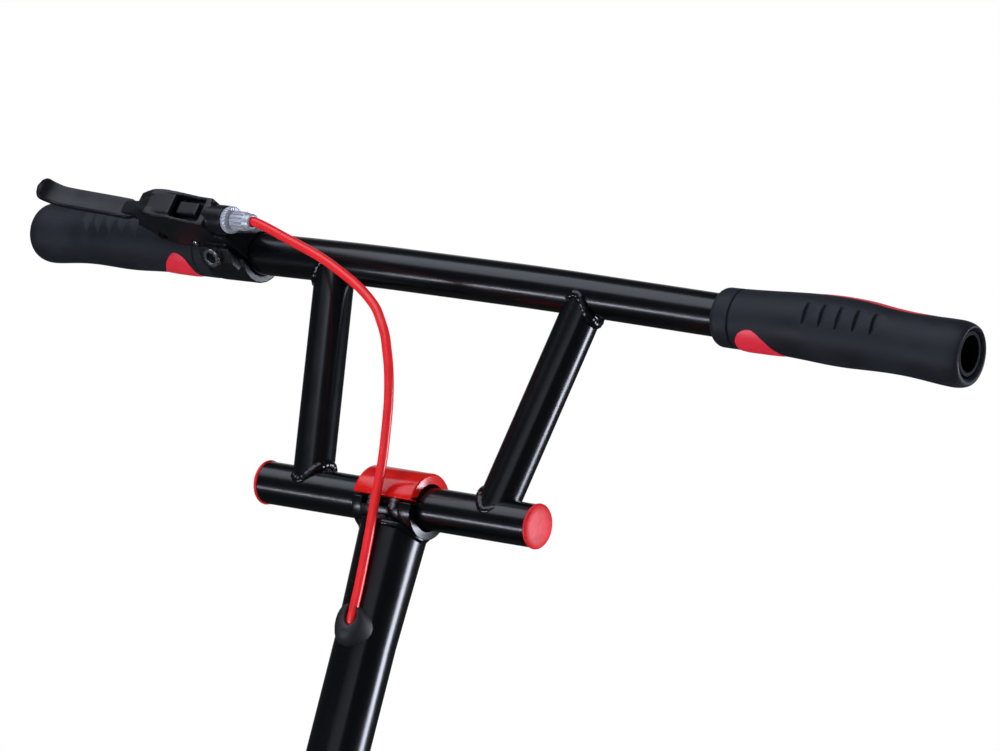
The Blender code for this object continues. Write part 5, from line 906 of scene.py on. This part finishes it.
# Clamp collar at the column's foot: a split ring with two ears behind, drawn together by two socket
# screws, coated in gloss black.
COLLAR_INNER, COLLAR_OUTER = 0.0162, 0.0212
ear = 0.0110
side = np.arccos(ear / COLLAR_OUTER)
edge = np.arccos(0.0015 / COLLAR_INNER)
out = np.linspace(side, -np.pi - side, 90)
back = np.linspace(-np.pi - edge, edge, 90)
split = np.concatenate((eased(((0.0015, 0.0362), (ear, 0.0362), (ear, 0.030)), 0.002, 6, loop=False),
                        arc(COLLAR_OUTER, out), eased(((-ear, 0.030), (-ear, 0.0362), (-0.0015, 0.0362)),
                                                      0.002, 6, loop=False), arc(COLLAR_INNER, back)))
collar_rows = steered(slab(split, 0.347, 0.381, 0.0009))
dress(piece("column_collar_split", [skin(collar_rows)], [gloss_black]), "steering", "black_paint",
      "column_collar")


def socket_screw(head, tall, shank, length, socket, deep):
    """Profile of a socket head screw with its head's top at 0, down into the socket and out again."""
    return [(0, -deep), (socket * 0.95, -deep), (socket, -deep + 0.0002), (socket, -0.0003),
            (socket + 0.0003, 0), (head - 0.0005, 0), (head, -0.0005), (head, -tall), (shank, -tall),
            (shank, -length), (0, -length)]


screws = []
for z in (0.355, 0.373):
    rows = turned(socket_screw(0.00495, 0.0057, 0.0030, 0.0270, 0.0022, 0.0030), 48, 0)
    screws.append(skin(steered(rows + (0.0170, 0.0292, z))))
dress(piece("collar_screws", screws, [zinc]), "steering", "steel", "collar_bolt_lower", "collar_bolt_upper")


# Handlebar. Steel tube of 22.2 mm: a top bar swept back at both ends, two uprights of 21.2 mm that lean
# out, and the crossbar that sits in the clamp, coped, welded all round and coated in gloss black.
TUBE_RADIUS, TUBE_WALL = 0.0111, 0.0018
BAR_RISE, BAR_HALF = 0.1211, 0.3015
BEND_START, BEND_RADIUS, BEND_ANGLE = 0.0326, 0.540, 0.0928
CROSSBAR_HALF, UPRIGHT_RADIUS = 0.0870, 0.0106
UPRIGHT_FOOT, UPRIGHT_HEAD = 0.0591, 0.0830


def bar_axis(s):
    """Axis of the top bar at s metres along it from the middle: straight to BEND_START, back round an
    arc of BEND_RADIUS through BEND_ANGLE, and straight on."""
    s = np.asarray(s, float)
    run = np.abs(s)
    bent = np.clip((run - BEND_START) / BEND_RADIUS, 0, BEND_ANGLE)
    past = np.maximum(run - BEND_START - BEND_RADIUS * BEND_ANGLE, 0)
    x = np.minimum(run, BEND_START) + BEND_RADIUS * np.sin(bent) + past * np.cos(bent)
    y = BEND_RADIUS * (1 - np.cos(bent)) + past * np.sin(bent)
    return np.stack((np.where(s < 0, -x, x), y, np.full(s.shape, BAR_RISE)), -1)


top_bar = bar_axis(np.linspace(-BAR_HALF, BAR_HALF, 220))
crossbar = np.linspace((-CROSSBAR_HALF, 0, 0), (CROSSBAR_HALF, 0, 0), 60)
tubes = [skin(clamped(pipe(top_bar, TUBE_RADIUS, TUBE_WALL, 72)), loop=True),
         skin(clamped(tube(crossbar, TUBE_RADIUS, 72)))]
for side in (-1, 1):
    foot, head = np.array((side * UPRIGHT_FOOT, 0, 0)), bar_axis(side * UPRIGHT_HEAD)
    lean = unit(head - foot)
    bar_run = bar_axis(side * (UPRIGHT_HEAD + 0.0001)) - bar_axis(side * (UPRIGHT_HEAD - 0.0001))
    tubes.append(skin(clamped(tube(np.linspace(foot, head, 40), UPRIGHT_RADIUS, 64, (0, 1, 0)))))
    tubes.append(skin(clamped(weld(head, -lean, UPRIGHT_RADIUS, bar_run, TUBE_RADIUS)), loop=True))
    tubes.append(skin(clamped(weld(foot, lean, UPRIGHT_RADIUS, (1, 0, 0), TUBE_RADIUS)), loop=True))
dress(piece("welded_handlebar", tubes, [gloss_black]), "handlebar", "black_paint", "handlebar")


# Plugs in the crossbar's ends. Red polypropylene, moulded with a low dome and a rounded rim, pushed in.
swirl = noise(160, 3, Distortion=1.2)
red_plug = finish("red_moulded_polypropylene", "#c4202c", 0.44,
                  tones=(swirl, 0.32, 0.70, "#c0141c", "#dc222b"), relief=(swirl, 0.15, 0.0002),
                  Specular_IOR_Level=0.25)
plug = mm((0, -14), (8, -14), (9, -13), (9, 0.2), (11.2, 0.3), (11.6, 0.6), (11.7, 1.1), (11.6, 1.6),
          (11.2, 2.1), (10.4, 2.5), (8.5, 2.9), (5, 3.2), (0, 3.3))
for side, name in ((-1, "right"), (1, "left")):
    rows = turned(plug, 72, 0) * (side, 1, 1) + (side * CROSSBAR_HALF, 0, 0)
    dress(piece("crossbar_plug_" + name, [skin(clamped(rows))], [red_plug]), "handlebar", "red_plastic",
          "end_plug_" + name)


# Grips. Black thermoplastic rubber moulded over the bar's ends, matt, with a collar behind a groove, a
# palm swell on top, five slanted vents in front, and red inlays for the palm and the thumb.
cloud = noise(55, 4, Roughness=0.6)
grip_rubber = finish("black_moulded_grip_rubber", "#15181d", 0.55,
                     tones=(cloud, 0.3, 0.72, "#12151a", "#1c2027"), gloss=(cloud, 0.3, 0.7, 0.50, 0.66),
                     relief=(noise(3200, 2), 0.22, 0.0001), Specular_IOR_Level=0.28, Sheen_Weight=0.03,
                     Sheen_Roughness=0.45, Sheen_Tint=linear("#9fb0cc"))
red_inlay = finish("red_moulded_grip_inlay", "#cf1d33", 0.42,
                   tones=(noise(90, 3), 0, 1, "#cf122a", "#e61c36"), relief=(noise(2600, 2), 0.18, 0.0001))

# Radius at each distance from the grip's origin, on top and below, as the photograph's outline gives it.
GRIP_ORIGIN = {"left": 0.1595, "right": 0.1625}
GRIP_END, BELL_WIDTH = 0.3030, 0.0066
MEASURED_AT = np.array((6, 18, 29, 41, 52, 64, 75, 86, 98, 109, 120, 131, 142)) / 1000
MEASURED_TOP = np.array((14.7, 15.3, 16.2, 17.1, 18.0, 18.5, 18.6, 18.0, 16.6, 15.7, 15.7, 16.0,
                         15.8)) / 1000
MEASURED_LOW = np.array((15.5, 15.4, 15.1, 15.1, 15.5, 16.1, 16.3, 15.8, 15.4, 15.5, 16.3, 17.4,
                         17.6)) / 1000
VENT_FIRST, VENT_STEP, VENT_WIDTH, VENT_HALF, VENT_DEPTH = 0.0560, 0.0095, 0.0037, 0.0066, 0.0017
VENT_TURN, VENT_RADIUS, OVAL_TURN, OVAL_POWER = np.radians(73), 0.0172, np.radians(15), 1.4
SHOULDER_START, SHOULDER_RUN, SHOULDER_RADIUS, END_RUN, END_DROP = 0.0018, 0.0042, 0.0117, 0.0085, 0.0028
COLLAR_GROOVE_AT, COLLAR_GROOVE_HALF, COLLAR_GROOVE_DEPTH = 0.0132, 0.00045, 0.0009


def grip_radius(x, t, end):
    """Radius at x metres from the origin and turn t, 0 on top and growing forwards. Top and bottom
    follow bell weighted means of the measured radii; between them low + (high - low) * ((1 + cos
    (t - 15 degrees)) / 2)^1.4. Shoulders are quarter rounds, a groove closes the collar off, and
    each vent falls steeply at its inner side and climbs back outwards."""
    weight = np.exp(-((x[..., None] - MEASURED_AT) / BELL_WIDTH)**2 / 2)
    high, low = ((weight * radii).sum(-1) / weight.sum(-1) for radii in (MEASURED_TOP, MEASURED_LOW))
    radius = low + (high - low) * ((1 + np.cos(t - OVAL_TURN)) / 2)**OVAL_POWER
    shoulder = np.clip(1 - (x - SHOULDER_START) / SHOULDER_RUN, 0, 1)
    radius = radius - (radius - SHOULDER_RADIUS) * (1 - np.sqrt(1 - shoulder**2))
    bulb = np.clip(1 - (end - x) / END_RUN, 0, 1)
    radius = radius - END_DROP * (1 - np.sqrt(1 - bulb**2))
    radius = radius - COLLAR_GROOVE_DEPTH * np.exp(-((x - COLLAR_GROOVE_AT) / COLLAR_GROOVE_HALF)**2)
    across = (t - VENT_TURN) * VENT_RADIUS / VENT_HALF
    outline = np.maximum(1 - across**2, 0)
    for k in range(5):
        wide = VENT_WIDTH * (1.5 - across) * np.maximum(outline, 1e-6)**0.5
        along = (x - VENT_FIRST - VENT_STEP * k) / np.maximum(wide, 1e-6)
        cut = np.clip(np.minimum((along + 0.12) / 0.16, 1 - along), 0, 1) * (outline > 0)
        radius = radius - VENT_DEPTH * cut * outline**0.4
    return radius


def on_grip(x, t, radius, side, start):
    """Points at x along the bar from the grip's own origin, turn t and radius, in the world."""
    ahead = np.array((side * np.cos(BEND_ANGLE), np.sin(BEND_ANGLE), 0))
    front = np.array((side * np.sin(BEND_ANGLE), -np.cos(BEND_ANGLE), 0))
    x, t, radius = (v[..., None] for v in np.broadcast_arrays(x, t, radius))
    return clamped(bar_axis(side * start) + x * ahead
                   + radius * (np.sin(t) * front + np.cos(t) * (0, 0, 1)))


def inlay(outline, side, start, end, proud):
    """Inlay moulded into the grip: a domed skin over a closed outline of (x, t) points, proud by
    that much in its middle and flush at its edge, and closed 1.2 mm under the rubber."""
    edge = smooth([*outline, outline[0]], 121)[:-1] * (0.001, np.pi / 180)
    middle = edge.mean(0)
    share = np.array((0, 0.25, 0.5, 0.7, 0.85, 0.94, 0.985, 1.0, 1.0, 0.6, 0))[:, None]
    lift = np.array((1, 0.96, 0.85, 0.68, 0.46, 0.32, 0.22, -0.30))
    lift = np.concatenate((proud * lift, (-0.0012, -0.0012, -0.0012)))[:, None]
    x, t = (middle[k] + (edge[None, :, k] - middle[k]) * share for k in (0, 1))
    return skin(on_grip(x, t, grip_radius(x, t, end) + lift, side, start), slot=1)


palm = [(55, 2), (58.7, 17), (66, 20), (74, 21), (90, 24), (101, 25), (110, 23), (117, 18), (121, 6),
        (113, -20), (100, -42), (82, -48), (66, -36), (57, -15)]
thumb = [(16.4, 180), (16.6, 160), (17.0, 146), (19.8, 128), (25.0, 118.5), (29.2, 122), (34.4, 140),
         (37.2, 154), (40.0, 168), (42.4, 181), (38.5, 193), (29, 201), (20, 200), (17.0, 191)]
for name, side, start, cut in (("left", 1, GRIP_ORIGIN["left"], 0.0018),
                               ("right", -1, GRIP_ORIGIN["right"], 0.0035)):
    end = GRIP_END - start
    x = np.concatenate((np.linspace(cut, 0.0060, 14), np.linspace(0.0068, 0.0119, 6),
                        np.linspace(0.0120, 0.0145, 14), np.linspace(0.0155, 0.0545, 36),
                        np.linspace(0.0549, 0.0990, 128), np.linspace(0.1, end - 0.0095, 30),
                        np.linspace(end - 0.0085, end, 20)))
    t = np.radians(np.concatenate((np.linspace(-180, 44, 70, endpoint=False),
                                   np.linspace(44, 102, 48, endpoint=False),
                                   np.linspace(102, 180, 26, endpoint=False))))
    x, t = x[:, None] + 0 * t, t[None] + 0 * x[:, None]
    radius = grip_radius(x, t, end)
    mouth = np.array((0.0139, 0.0132, 0.0128, 0.0125, 0.0116, 0.0112))[:, None]
    inside = np.array((end - 0.0001, end - 0.0005, end - 0.0012, end - 0.0024, end - 0.0060, cut))[:, None]
    rows = on_grip(np.concatenate((x, inside + 0 * t[:1])), np.concatenate((t, t[:6])),
                   np.concatenate((radius, mouth + 0 * t[:1])), side, start)
    skins = [skin(rows, loop=True)]
    skins += [inlay(outline, side, start, end, proud)
              for outline, proud in ((palm, 0.0004), (thumb, 0.0010))]
    dress(piece("grip_with_inlays_" + name, skins, [grip_rubber, red_inlay], 40), "handlebar",
          "black_rubber", "grip_" + name)


# Brake lever. The bracket is a die-cast alloy ring with a hood for the lever's root and a boss for the
# cable's adjuster, the blade a forged alloy finger lever. Both are tumbled and painted satin black.
LEVER_PLACE, LEVER_TILT = 0.156, np.radians(-15)
PIVOT, BARREL = np.array((-0.033, -0.0235, 0.0)), np.array((0.0205, -0.0353, 0.0))


def levered(points):
    """Points of the lever's frame, X inwards along the bar and -Y forwards to the blade, in the world."""
    tip = np.array(((1, 0, 0), (0, np.cos(LEVER_TILT), np.sin(LEVER_TILT)),
                    (0, -np.sin(LEVER_TILT), np.cos(LEVER_TILT))))
    yaw = np.array(((np.cos(BEND_ANGLE), -np.sin(BEND_ANGLE), 0),
                    (np.sin(BEND_ANGLE), np.cos(BEND_ANGLE), 0), (0, 0, 1)))
    return clamped(np.asarray(points, float) @ tip @ yaw + bar_axis(-LEVER_PLACE))


def block(corners, low, high, axis=2):
    """Closed skin of a plate in the lever's frame, to add to a casting or to cut from it."""
    return skin(levered(slab(corners, low, high, 0.0001, axis)))


def carved(node, name, voxel, rounds, changes):
    """Cast form of a CAD node: a merged copy, with the changes made to it one by one, remeshed in
    voxels and smoothed, so that its edges go round."""
    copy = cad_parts[node].data.copy()
    shape = bmesh.new()
    shape.from_mesh(copy)
    bmesh.ops.remove_doubles(shape, verts=shape.verts, dist=1e-6)
    shape.to_mesh(copy)
    shape.free()
    rough = put("rough_" + name, copy)
    tools = []
    for number, (operation, body) in enumerate(changes):
        tools.append(piece(f"tool_{number}", [body], []))
        change = rough.modifiers.new(f"change_{number}", "BOOLEAN")
        change.operation, change.object, change.solver = operation, tools[-1], "EXACT"
    remesh = rough.modifiers.new("remesh", "REMESH")
    remesh.mode = "VOXEL"
    remesh.voxel_size = voxel
    ease = rough.modifiers.new("ease", "SMOOTH")
    ease.factor, ease.iterations = 0.5, rounds
    bpy.context.view_layer.update()
    done = bpy.data.meshes.new_from_object(rough.evaluated_get(bpy.context.evaluated_depsgraph_get()))
    for unused in [rough, *tools]:
        bpy.data.objects.remove(unused)
    done.name = name
    done.materials.clear()
    done.shade_smooth()
    made = put(name, done)
    return made


satin_black = finish("satin_black_cast_aluminium", "#0d0f14", 0.38,
                     gloss=(noise(60, 4), 0.3, 0.72, 0.32, 0.46), relief=(noise(900, 3), 0.16, 0.0002),
                     Specular_IOR_Level=0.36)

# The hood is closed in front of the lever's root and open beside it, where the cable's stop shows. The
# boss stands clear of the hood, and the clamp's ear slopes, square to its screw.
EAR_SEAT = np.array((0.0060, -0.0185, -0.0135))
slope = np.radians(35)
OUTWARD, ALONG = np.array((-np.sin(slope), -np.cos(slope))), np.array((np.cos(slope), -np.sin(slope)))
foot = EAR_SEAT[1:]
boss = tube(np.linspace((0.0100, BARREL[1], 0), (0.0220, BARREL[1], 0), 4), 0.0074, 48)
bore = tube(np.linspace((0.0085, BARREL[1], 0), (0.0260, BARREL[1], 0), 4), 0.0041, 32)
changes = [("UNION", block(mm((-45.8, -40.5), (-46.6, -43), (-39.9, -46.4), (-28, -47.6), (-10, -47.1),
                              (-10, -44.1), (-30, -44.1), (-40, -42.5)), -0.0060, 0.0060)),
           ("DIFFERENCE", block(mm((-10.8, -52), (7.2, -52), (7.2, -39.9), (-10.8, -39.9)), -0.0066,
                                0.0066)),
           ("UNION", block(mm((-9.2, -44), (5.6, -44), (5.6, -38.5), (-9.2, -38.5)), -0.0036, 0.0036)),
           ("DIFFERENCE", block(mm((11.4, -52), (30, -52), (30, -30), (11.4, -30)), -0.02, 0.02)),
           ("UNION", skin(levered(boss))), ("DIFFERENCE", skin(levered(bore))),
           ("UNION", block(mm((-22.2, -10.9), (-14.9, -16), (-8, -16), (-8, -10.4), (-22.2, -10)), -0.0060,
                           0.0170, 0)),
           ("DIFFERENCE", block([foot - 0.0060 * ALONG, foot + 0.0100 * ALONG, foot + 0.0100 * ALONG
                                 + 0.02 * OUTWARD, foot - 0.0060 * ALONG + 0.02 * OUTWARD], -0.0300, 0.0300,
                                0))]
bracket = carved("lever_bracket", "lever_bracket_cast", 0.0004, 14, changes)
places = np.empty(len(bracket.data.vertices) * 3)
bracket.data.vertices.foreach_get("co", places)
middle = levered([(0, 0, 0)])[0]
axes = levered(np.eye(3)) - middle
local = (places.reshape(-1, 3) - middle) @ axes.T
# The hood's front is drawn in beyond DRAWN_FROM by a share of the way, and its wall closes as a dome:
# its height goes down with sqrt(1 - ((x - DOME_FROM) / DOME_RUN)^2), x outwards along the bar. What
# stands over the lever's slot thins by up to THINNING, with the square of the way from THIN_FROM.
DRAWN_FROM, DRAW, DOME_FROM, DOME_RUN = 0.0280, 0.34, 0.0190, 0.0215
THIN_FROM, THIN_RUN, THINNING, SLOT_HALF = 0.0240, 0.0180, 0.62, 0.0043
HOOD_START, FRONT_START, WALL_START = 0.0170, 0.0300, 0.0385
forward = -local[:, 1]
front = np.clip((forward - FRONT_START) / 0.0060, 0, 1)
local[:, 0] += front * DRAW * np.maximum(-local[:, 0] - DRAWN_FROM, 0)
outward = -local[:, 0]
wall = np.clip((forward - WALL_START) / 0.0020, 0, 1)
dome = np.sqrt(1 - np.clip((outward - DOME_FROM) / DOME_RUN, 0, 0.98)**2)
local[:, 2] *= 1 - wall * (1 - dome)
thin = THINNING * np.clip((outward - THIN_FROM) / THIN_RUN, 0, 1)**2
over = np.maximum(np.abs(local[:, 2]) - SLOT_HALF, 0) * (forward > HOOD_START)
local[:, 2] -= np.sign(local[:, 2]) * over * thin
bracket.data.vertices.foreach_set("co", (local @ axes + middle).ravel())
bracket.data.materials.append(satin_black)
dress(bracket, "handlebar", "black_paint", "lever_bracket")


def pivoted(points):
    """Points about the lever's pivot while the lever is at rest, in the world."""
    return levered(np.asarray(points, float) + PIVOT)


# Lever blade. The root turns on the pin in the hood's slot. The finger blade is a strip along a smooth
# line: half its section is H(s) * (1 - (1 - s/5 mm)^2)^0.5 near the tip, |z/H|^5 + |n/T|^5 = 1 across.
ANCHOR = np.array((0, -0.0118))
ROOT_RADIUS, ROOT_HALF, BLADE_GROWTH, TIP_GROWTH = 0.0060, 0.0039, 0.0018, 0.0007
TIP_ROUND, BLADE_HALF, DISH = 0.0046, 0.0021, 0.0005
turn = np.radians(np.linspace(-15, 180, 24))
hook = np.radians(np.linspace(-110, -10, 12))
root = np.concatenate((arc(ROOT_RADIUS, turn), ((-0.0080, -0.0045), (-0.0160, -0.0095), (-0.0240, -0.0105),
                                                (-0.0240, -0.0142), (-0.0120, -0.0158)),
                       arc(0.0056, hook, *ANCHOR)))
line = smooth(mm((-12, -11.8), (-18.5, -12), (-30, -13.7), (-48, -16), (-60, -17.6), (-67.2, -19.3),
                 (-72.6, -23), (-76.8, -29)), 90)
run = np.linspace(0, 1, 90)
length = np.linalg.norm(np.diff(line, axis=0), axis=1).sum()
to_tip = (1 - run) * length
high = ROOT_HALF + BLADE_GROWTH * np.clip((run * length - 0.0020) / 0.0060, 0, 1)
high = high + TIP_GROWTH * np.clip(1 - to_tip / 0.0140, 0, 1)
high = high * np.sqrt(1 - np.clip(1 - to_tip / TIP_ROUND, 0, 0.995)**2)
thick = BLADE_HALF * (1 - 0.35 * np.clip(1 - to_tip / 0.0020, 0, 1))
ahead = unit(np.gradient(line, axis=0))
normal = np.stack((-ahead[:, 1], ahead[:, 0]), -1)
turn = full_turn(56)
size = (np.abs(np.cos(turn))**5 + np.abs(np.sin(turn))**5)**-0.2
across, up = size * np.cos(turn), size * np.sin(turn)
dish = DISH * (1 - up**2) * (across > 0.9)
offset = thick[:, None] * across - dish
finger = np.concatenate((line[:, None] + offset[..., None] * normal[:, None],
                         (high[:, None] * up)[..., None]), -1)
dress(piece("lever_blade_forged", [skin(pivoted(slab(root, -ROOT_HALF, ROOT_HALF, 0.0006))),
                                   skin(pivoted(finger))], [satin_black], 50), "brake_lever", "black_paint",
      "lever_blade")


# Small hardware of the lever: the blackened pin that it turns on, the zinc plated socket screws of the
# clamp and of the lever's reach, the cable's barrel nipple and the bare wire from it to the adjuster. A
# black disc down in the clamp screw's socket is painted shade, for the dark of the recess.
black_oxide = finish("black_oxide_steel", "#2b2b2d", 0.34, 1.0,
                     tones=(noise(700, 3), 0, 1, "#1d1d1f", "#3a3a3d"))
pin = mm((0, -8.8), (1.7, -8.8), (2.3, -8.5), (2.5, -8), (2.5, 8), (2.3, 8.5), (1.7, 8.8), (0, 8.8))
set_screw = mm((0, 4.3), (2, 4.3), (2, -4), (1.7, -4.4), (1, -4.4), (0.9, -4.2), (0.9, -2.6), (0, -2.6))
head = turned(socket_screw(0.0054, 0.0036, 0.0025, 0.0125, 0.0031, 0.0024), 48)
# plug here is a black disc 1 to 1.6 mm down the clamp screw's socket: painted shade that darkens the
# recess.
plug = turned(mm((0, -1), (3, -1), (3, -1.6), (0, -1.6)), 48)
tipped = np.array(((1, 0, 0), (0, -np.cos(slope), np.sin(slope)), (0, -np.sin(slope), -np.cos(slope))))
head, plug = (rows @ tipped + EAR_SEAT - 0.0036 * np.array((0, np.sin(slope), np.cos(slope)))
              for rows in (head, plug))
nipple = mm((0, -3.8), (2.9, -3.8), (3.2, -3.5), (3.2, 3.5), (2.9, 3.8), (0, 3.8))
wire = strands((PIVOT[0] + 0.0038, BARREL[1], 0), (0.0311, BARREL[1], 0))


def fitting(name, body, node, finishes, *parts):
    """Small steel piece of the lever from parts in the lever's frame, each with its own finish in order."""
    skins = [skin(levered(rows), slot=slot) for slot, rows in enumerate(parts)]
    dress(piece(name, skins, finishes), body, "steel", node)


fitting("lever_pivot_pin_peened", "handlebar", "lever_pivot_pin", [black_oxide], turned(pin, 40, 2, PIVOT))
# The clamp screw's second part, in black oxide, is the disc of painted shade in its socket.
fitting("lever_clamp_screw", "handlebar", "bracket_clamp_bolt", [zinc, black_oxide], head, plug)
fitting("lever_reach_screw", "handlebar", "bracket_set_screw", [zinc],
        turned(set_screw, 32, 2, (-0.0095, -0.0206, -0.0046)))
fitting("cable_barrel_nipple", "brake_lever", "cable_nipple", [zinc],
        turned(nipple, 32, 2, PIVOT + (0, -0.0118, 0)))
fitting("stranded_wire_upper", "handlebar", "brake_wire_upper", [zinc], wire)


# Adjuster. A nickel plated brass barrel, fluted for the fingers, seats the cable's end, and its
# knurled lock ring turns against the bracket's boss.
nickel = finish("matt_nickel_plated_brass", "#aeb2ba", 0.36, 0.45,
                gloss=(noise(1100, 3), 0.3, 0.7, 0.30, 0.44))


def fluted(profile, count, depth, around=180):
    """Body of revolution about X whose radius falls by depth * (1 - |cos(count * turn / 2)|)^2 where the
    profile's third value, the share of the flutes, is not 0."""
    radius, height, share = np.asarray(profile, float).T
    turn = full_turn(around)
    dent = depth * (1 - np.abs(np.cos(count * turn / 2)))**2
    size = radius[:, None] - share[:, None] * dent
    return np.stack((np.repeat(height[:, None], around, 1), size * np.cos(turn), size * np.sin(turn)), -1)


barrel = mm((1, -12, 0), (3.7, -12, 0), (3.8, -11.8, 0), (3.8, 5.8, 0), (4, 5.8, 0), (4.7, 6.1, 300),
            (5, 6.7, 1000), (5, 14.8, 1000), (4.8, 15.3, 400), (4.4, 15.6, 0), (4.3, 16, 0), (4.3, 19, 0),
            (4.1, 19.6, 0), (3.8, 19.8, 0), (2.9, 19.8, 0), (2.8, 19.4, 0), (2.8, 10.8, 0), (1, 10.8, 0))
dress(piece("fluted_barrel_adjuster", [skin(levered(fluted(barrel, 12, 0.0011) + BARREL), loop=True)],
            [nickel], 40), "barrel_adjuster", "aluminium", "barrel_adjuster")
ring = mm((4.1, 1.8, 0), (6.6, 1.8, 0), (7, 2.1, 500), (7.2, 2.5, 1000), (7.2, 4.8, 1000), (7, 5.2, 500),
          (6.6, 5.5, 0), (4.1, 5.5, 0))
dress(piece("knurled_lock_ring", [skin(levered(fluted(ring, 24, 0.0006) + BARREL), loop=True)], [nickel],
            40), "adjuster_lock_ring", "aluminium", "adjuster_lock_ring")


# Brake cable. Lined housing in red PVC of 5 mm, from the adjuster over the crossbar, through the rubber
# grommet in the column, down inside the steerer, out at the crown's port and down to the brake.
CABLE_RADIUS = 0.0025
GROMMET_DROP = 0.068
MEET = np.array((0.0025, -0.0196, BAR_PIVOT - 0.055))
MEET_RUN = unit(np.array((-0.02, 0.06, -1)))
housing_start = 0.0314
upper = np.concatenate((levered([(housing_start, BARREL[1], 0), (housing_start + 0.0112, BARREL[1], 0)]),
                        clamped(mm((-89.3, -31, 122.8), (-63.8, -33, 115.2), (-44.9, -34.5, 107.7),
                                   (-30.8, -35.5, 101), (-19.6, -36, 93.5), (-13.7, -36, 86.8),
                                   (-8.9, -35.5, 79.5), (-5.6, -35, 72), (-2.8, -34.3, 64.6),
                                   (-0.7, -33.5, 57.1), (0.4, -32, 49.7), (0.9, -30.3, 42.3),
                                   (1, -26.7, 27.3), (0.5, -23.6, 14.3), (1.1, -22.3, -6.9),
                                   (1.6, -21.2, -19.8), (2.2, -20.3, -37.6))),
                        steered([MEET - 0.005 * MEET_RUN])))
lower = steered([MEET, MEET + 0.005 * MEET_RUN, (.0012, -.0166, .589), (.0004, -.0100, .574),
                 (0, -.0030, .548), (0, .0010, .508), (0, .0010, .400), (0, .0010, .300), (0, .0005, .245),
                 (0, -.0010, .2240), (.0010, -.0050, .2050), (.0030, -.0115, .1910), (.0062, -.0203, .1795),
                 (.0120, -.0280, .1690), (.0205, -.0325, .1560), (.0285, -.0335, .1430),
                 (.0338, -.0355, .1310), STOP + 0.012 * PULL, STOP + 0.0003 * PULL])
route = smooth(np.concatenate((upper, lower)), 420)
red_housing = finish("red_pvc_cable_housing", "#d31822", 0.30,
                     tones=(noise(120, 3), 0, 1, "#cc141a", "#ec2428"),
                     relief=(noise(120, 3), 0.08, 0.0002))
cable = piece("brake_cable_housing", [skin(tube(route, CABLE_RADIUS, 28, (1, 0, 0)))], [red_housing])
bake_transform(cable)
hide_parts("cable_housing_upper", "cable_housing_lower")


# Grommet. Soft black rubber plug that keeps the cable off the hole's edge in the column: a dome outside,
# a neck in the hole, and a slot that is a little long for the cable's lean.
DOME_WIDE, DOME_TALL, SLOT_WIDE, SLOT_TALL, SLOT_X, SLOT_Z = 0.0113, 0.0107, 0.0031, 0.0052, 0.0024, 0.0052
turn = full_turn(72)
hole_x, hole_z = SLOT_WIDE * np.cos(turn) + SLOT_X, SLOT_TALL * np.sin(turn) + SLOT_Z
rings = []
for share, lift in ((0.0, -0.006), (0.0, 0.0), (0.0, 0.0040), (0.04, 0.0052), (0.12, 0.0057),
                    (0.30, 0.0060), (0.50, 0.0056), (0.70, 0.0045), (0.86, 0.0028), (0.95, 0.0014),
                    (1.0, 0.0002), (1.0, -0.0006), (0.70, -0.0006), (0.70, -0.006)):
    x = hole_x + (DOME_WIDE * np.cos(turn) - hole_x) * share
    z = hole_z + (DOME_TALL * np.sin(turn) - hole_z) * share
    rings.append(np.stack((x, -np.sqrt(0.0160**2 - np.minimum(x**2, 0.0150**2)) - lift, z - GROMMET_DROP),
                          -1))
dress(piece("cable_grommet_domed", [skin(clamped(np.array(rings)), loop=True)], [soft_rubber]), "steering",
      "black_rubber", "cable_grommet")
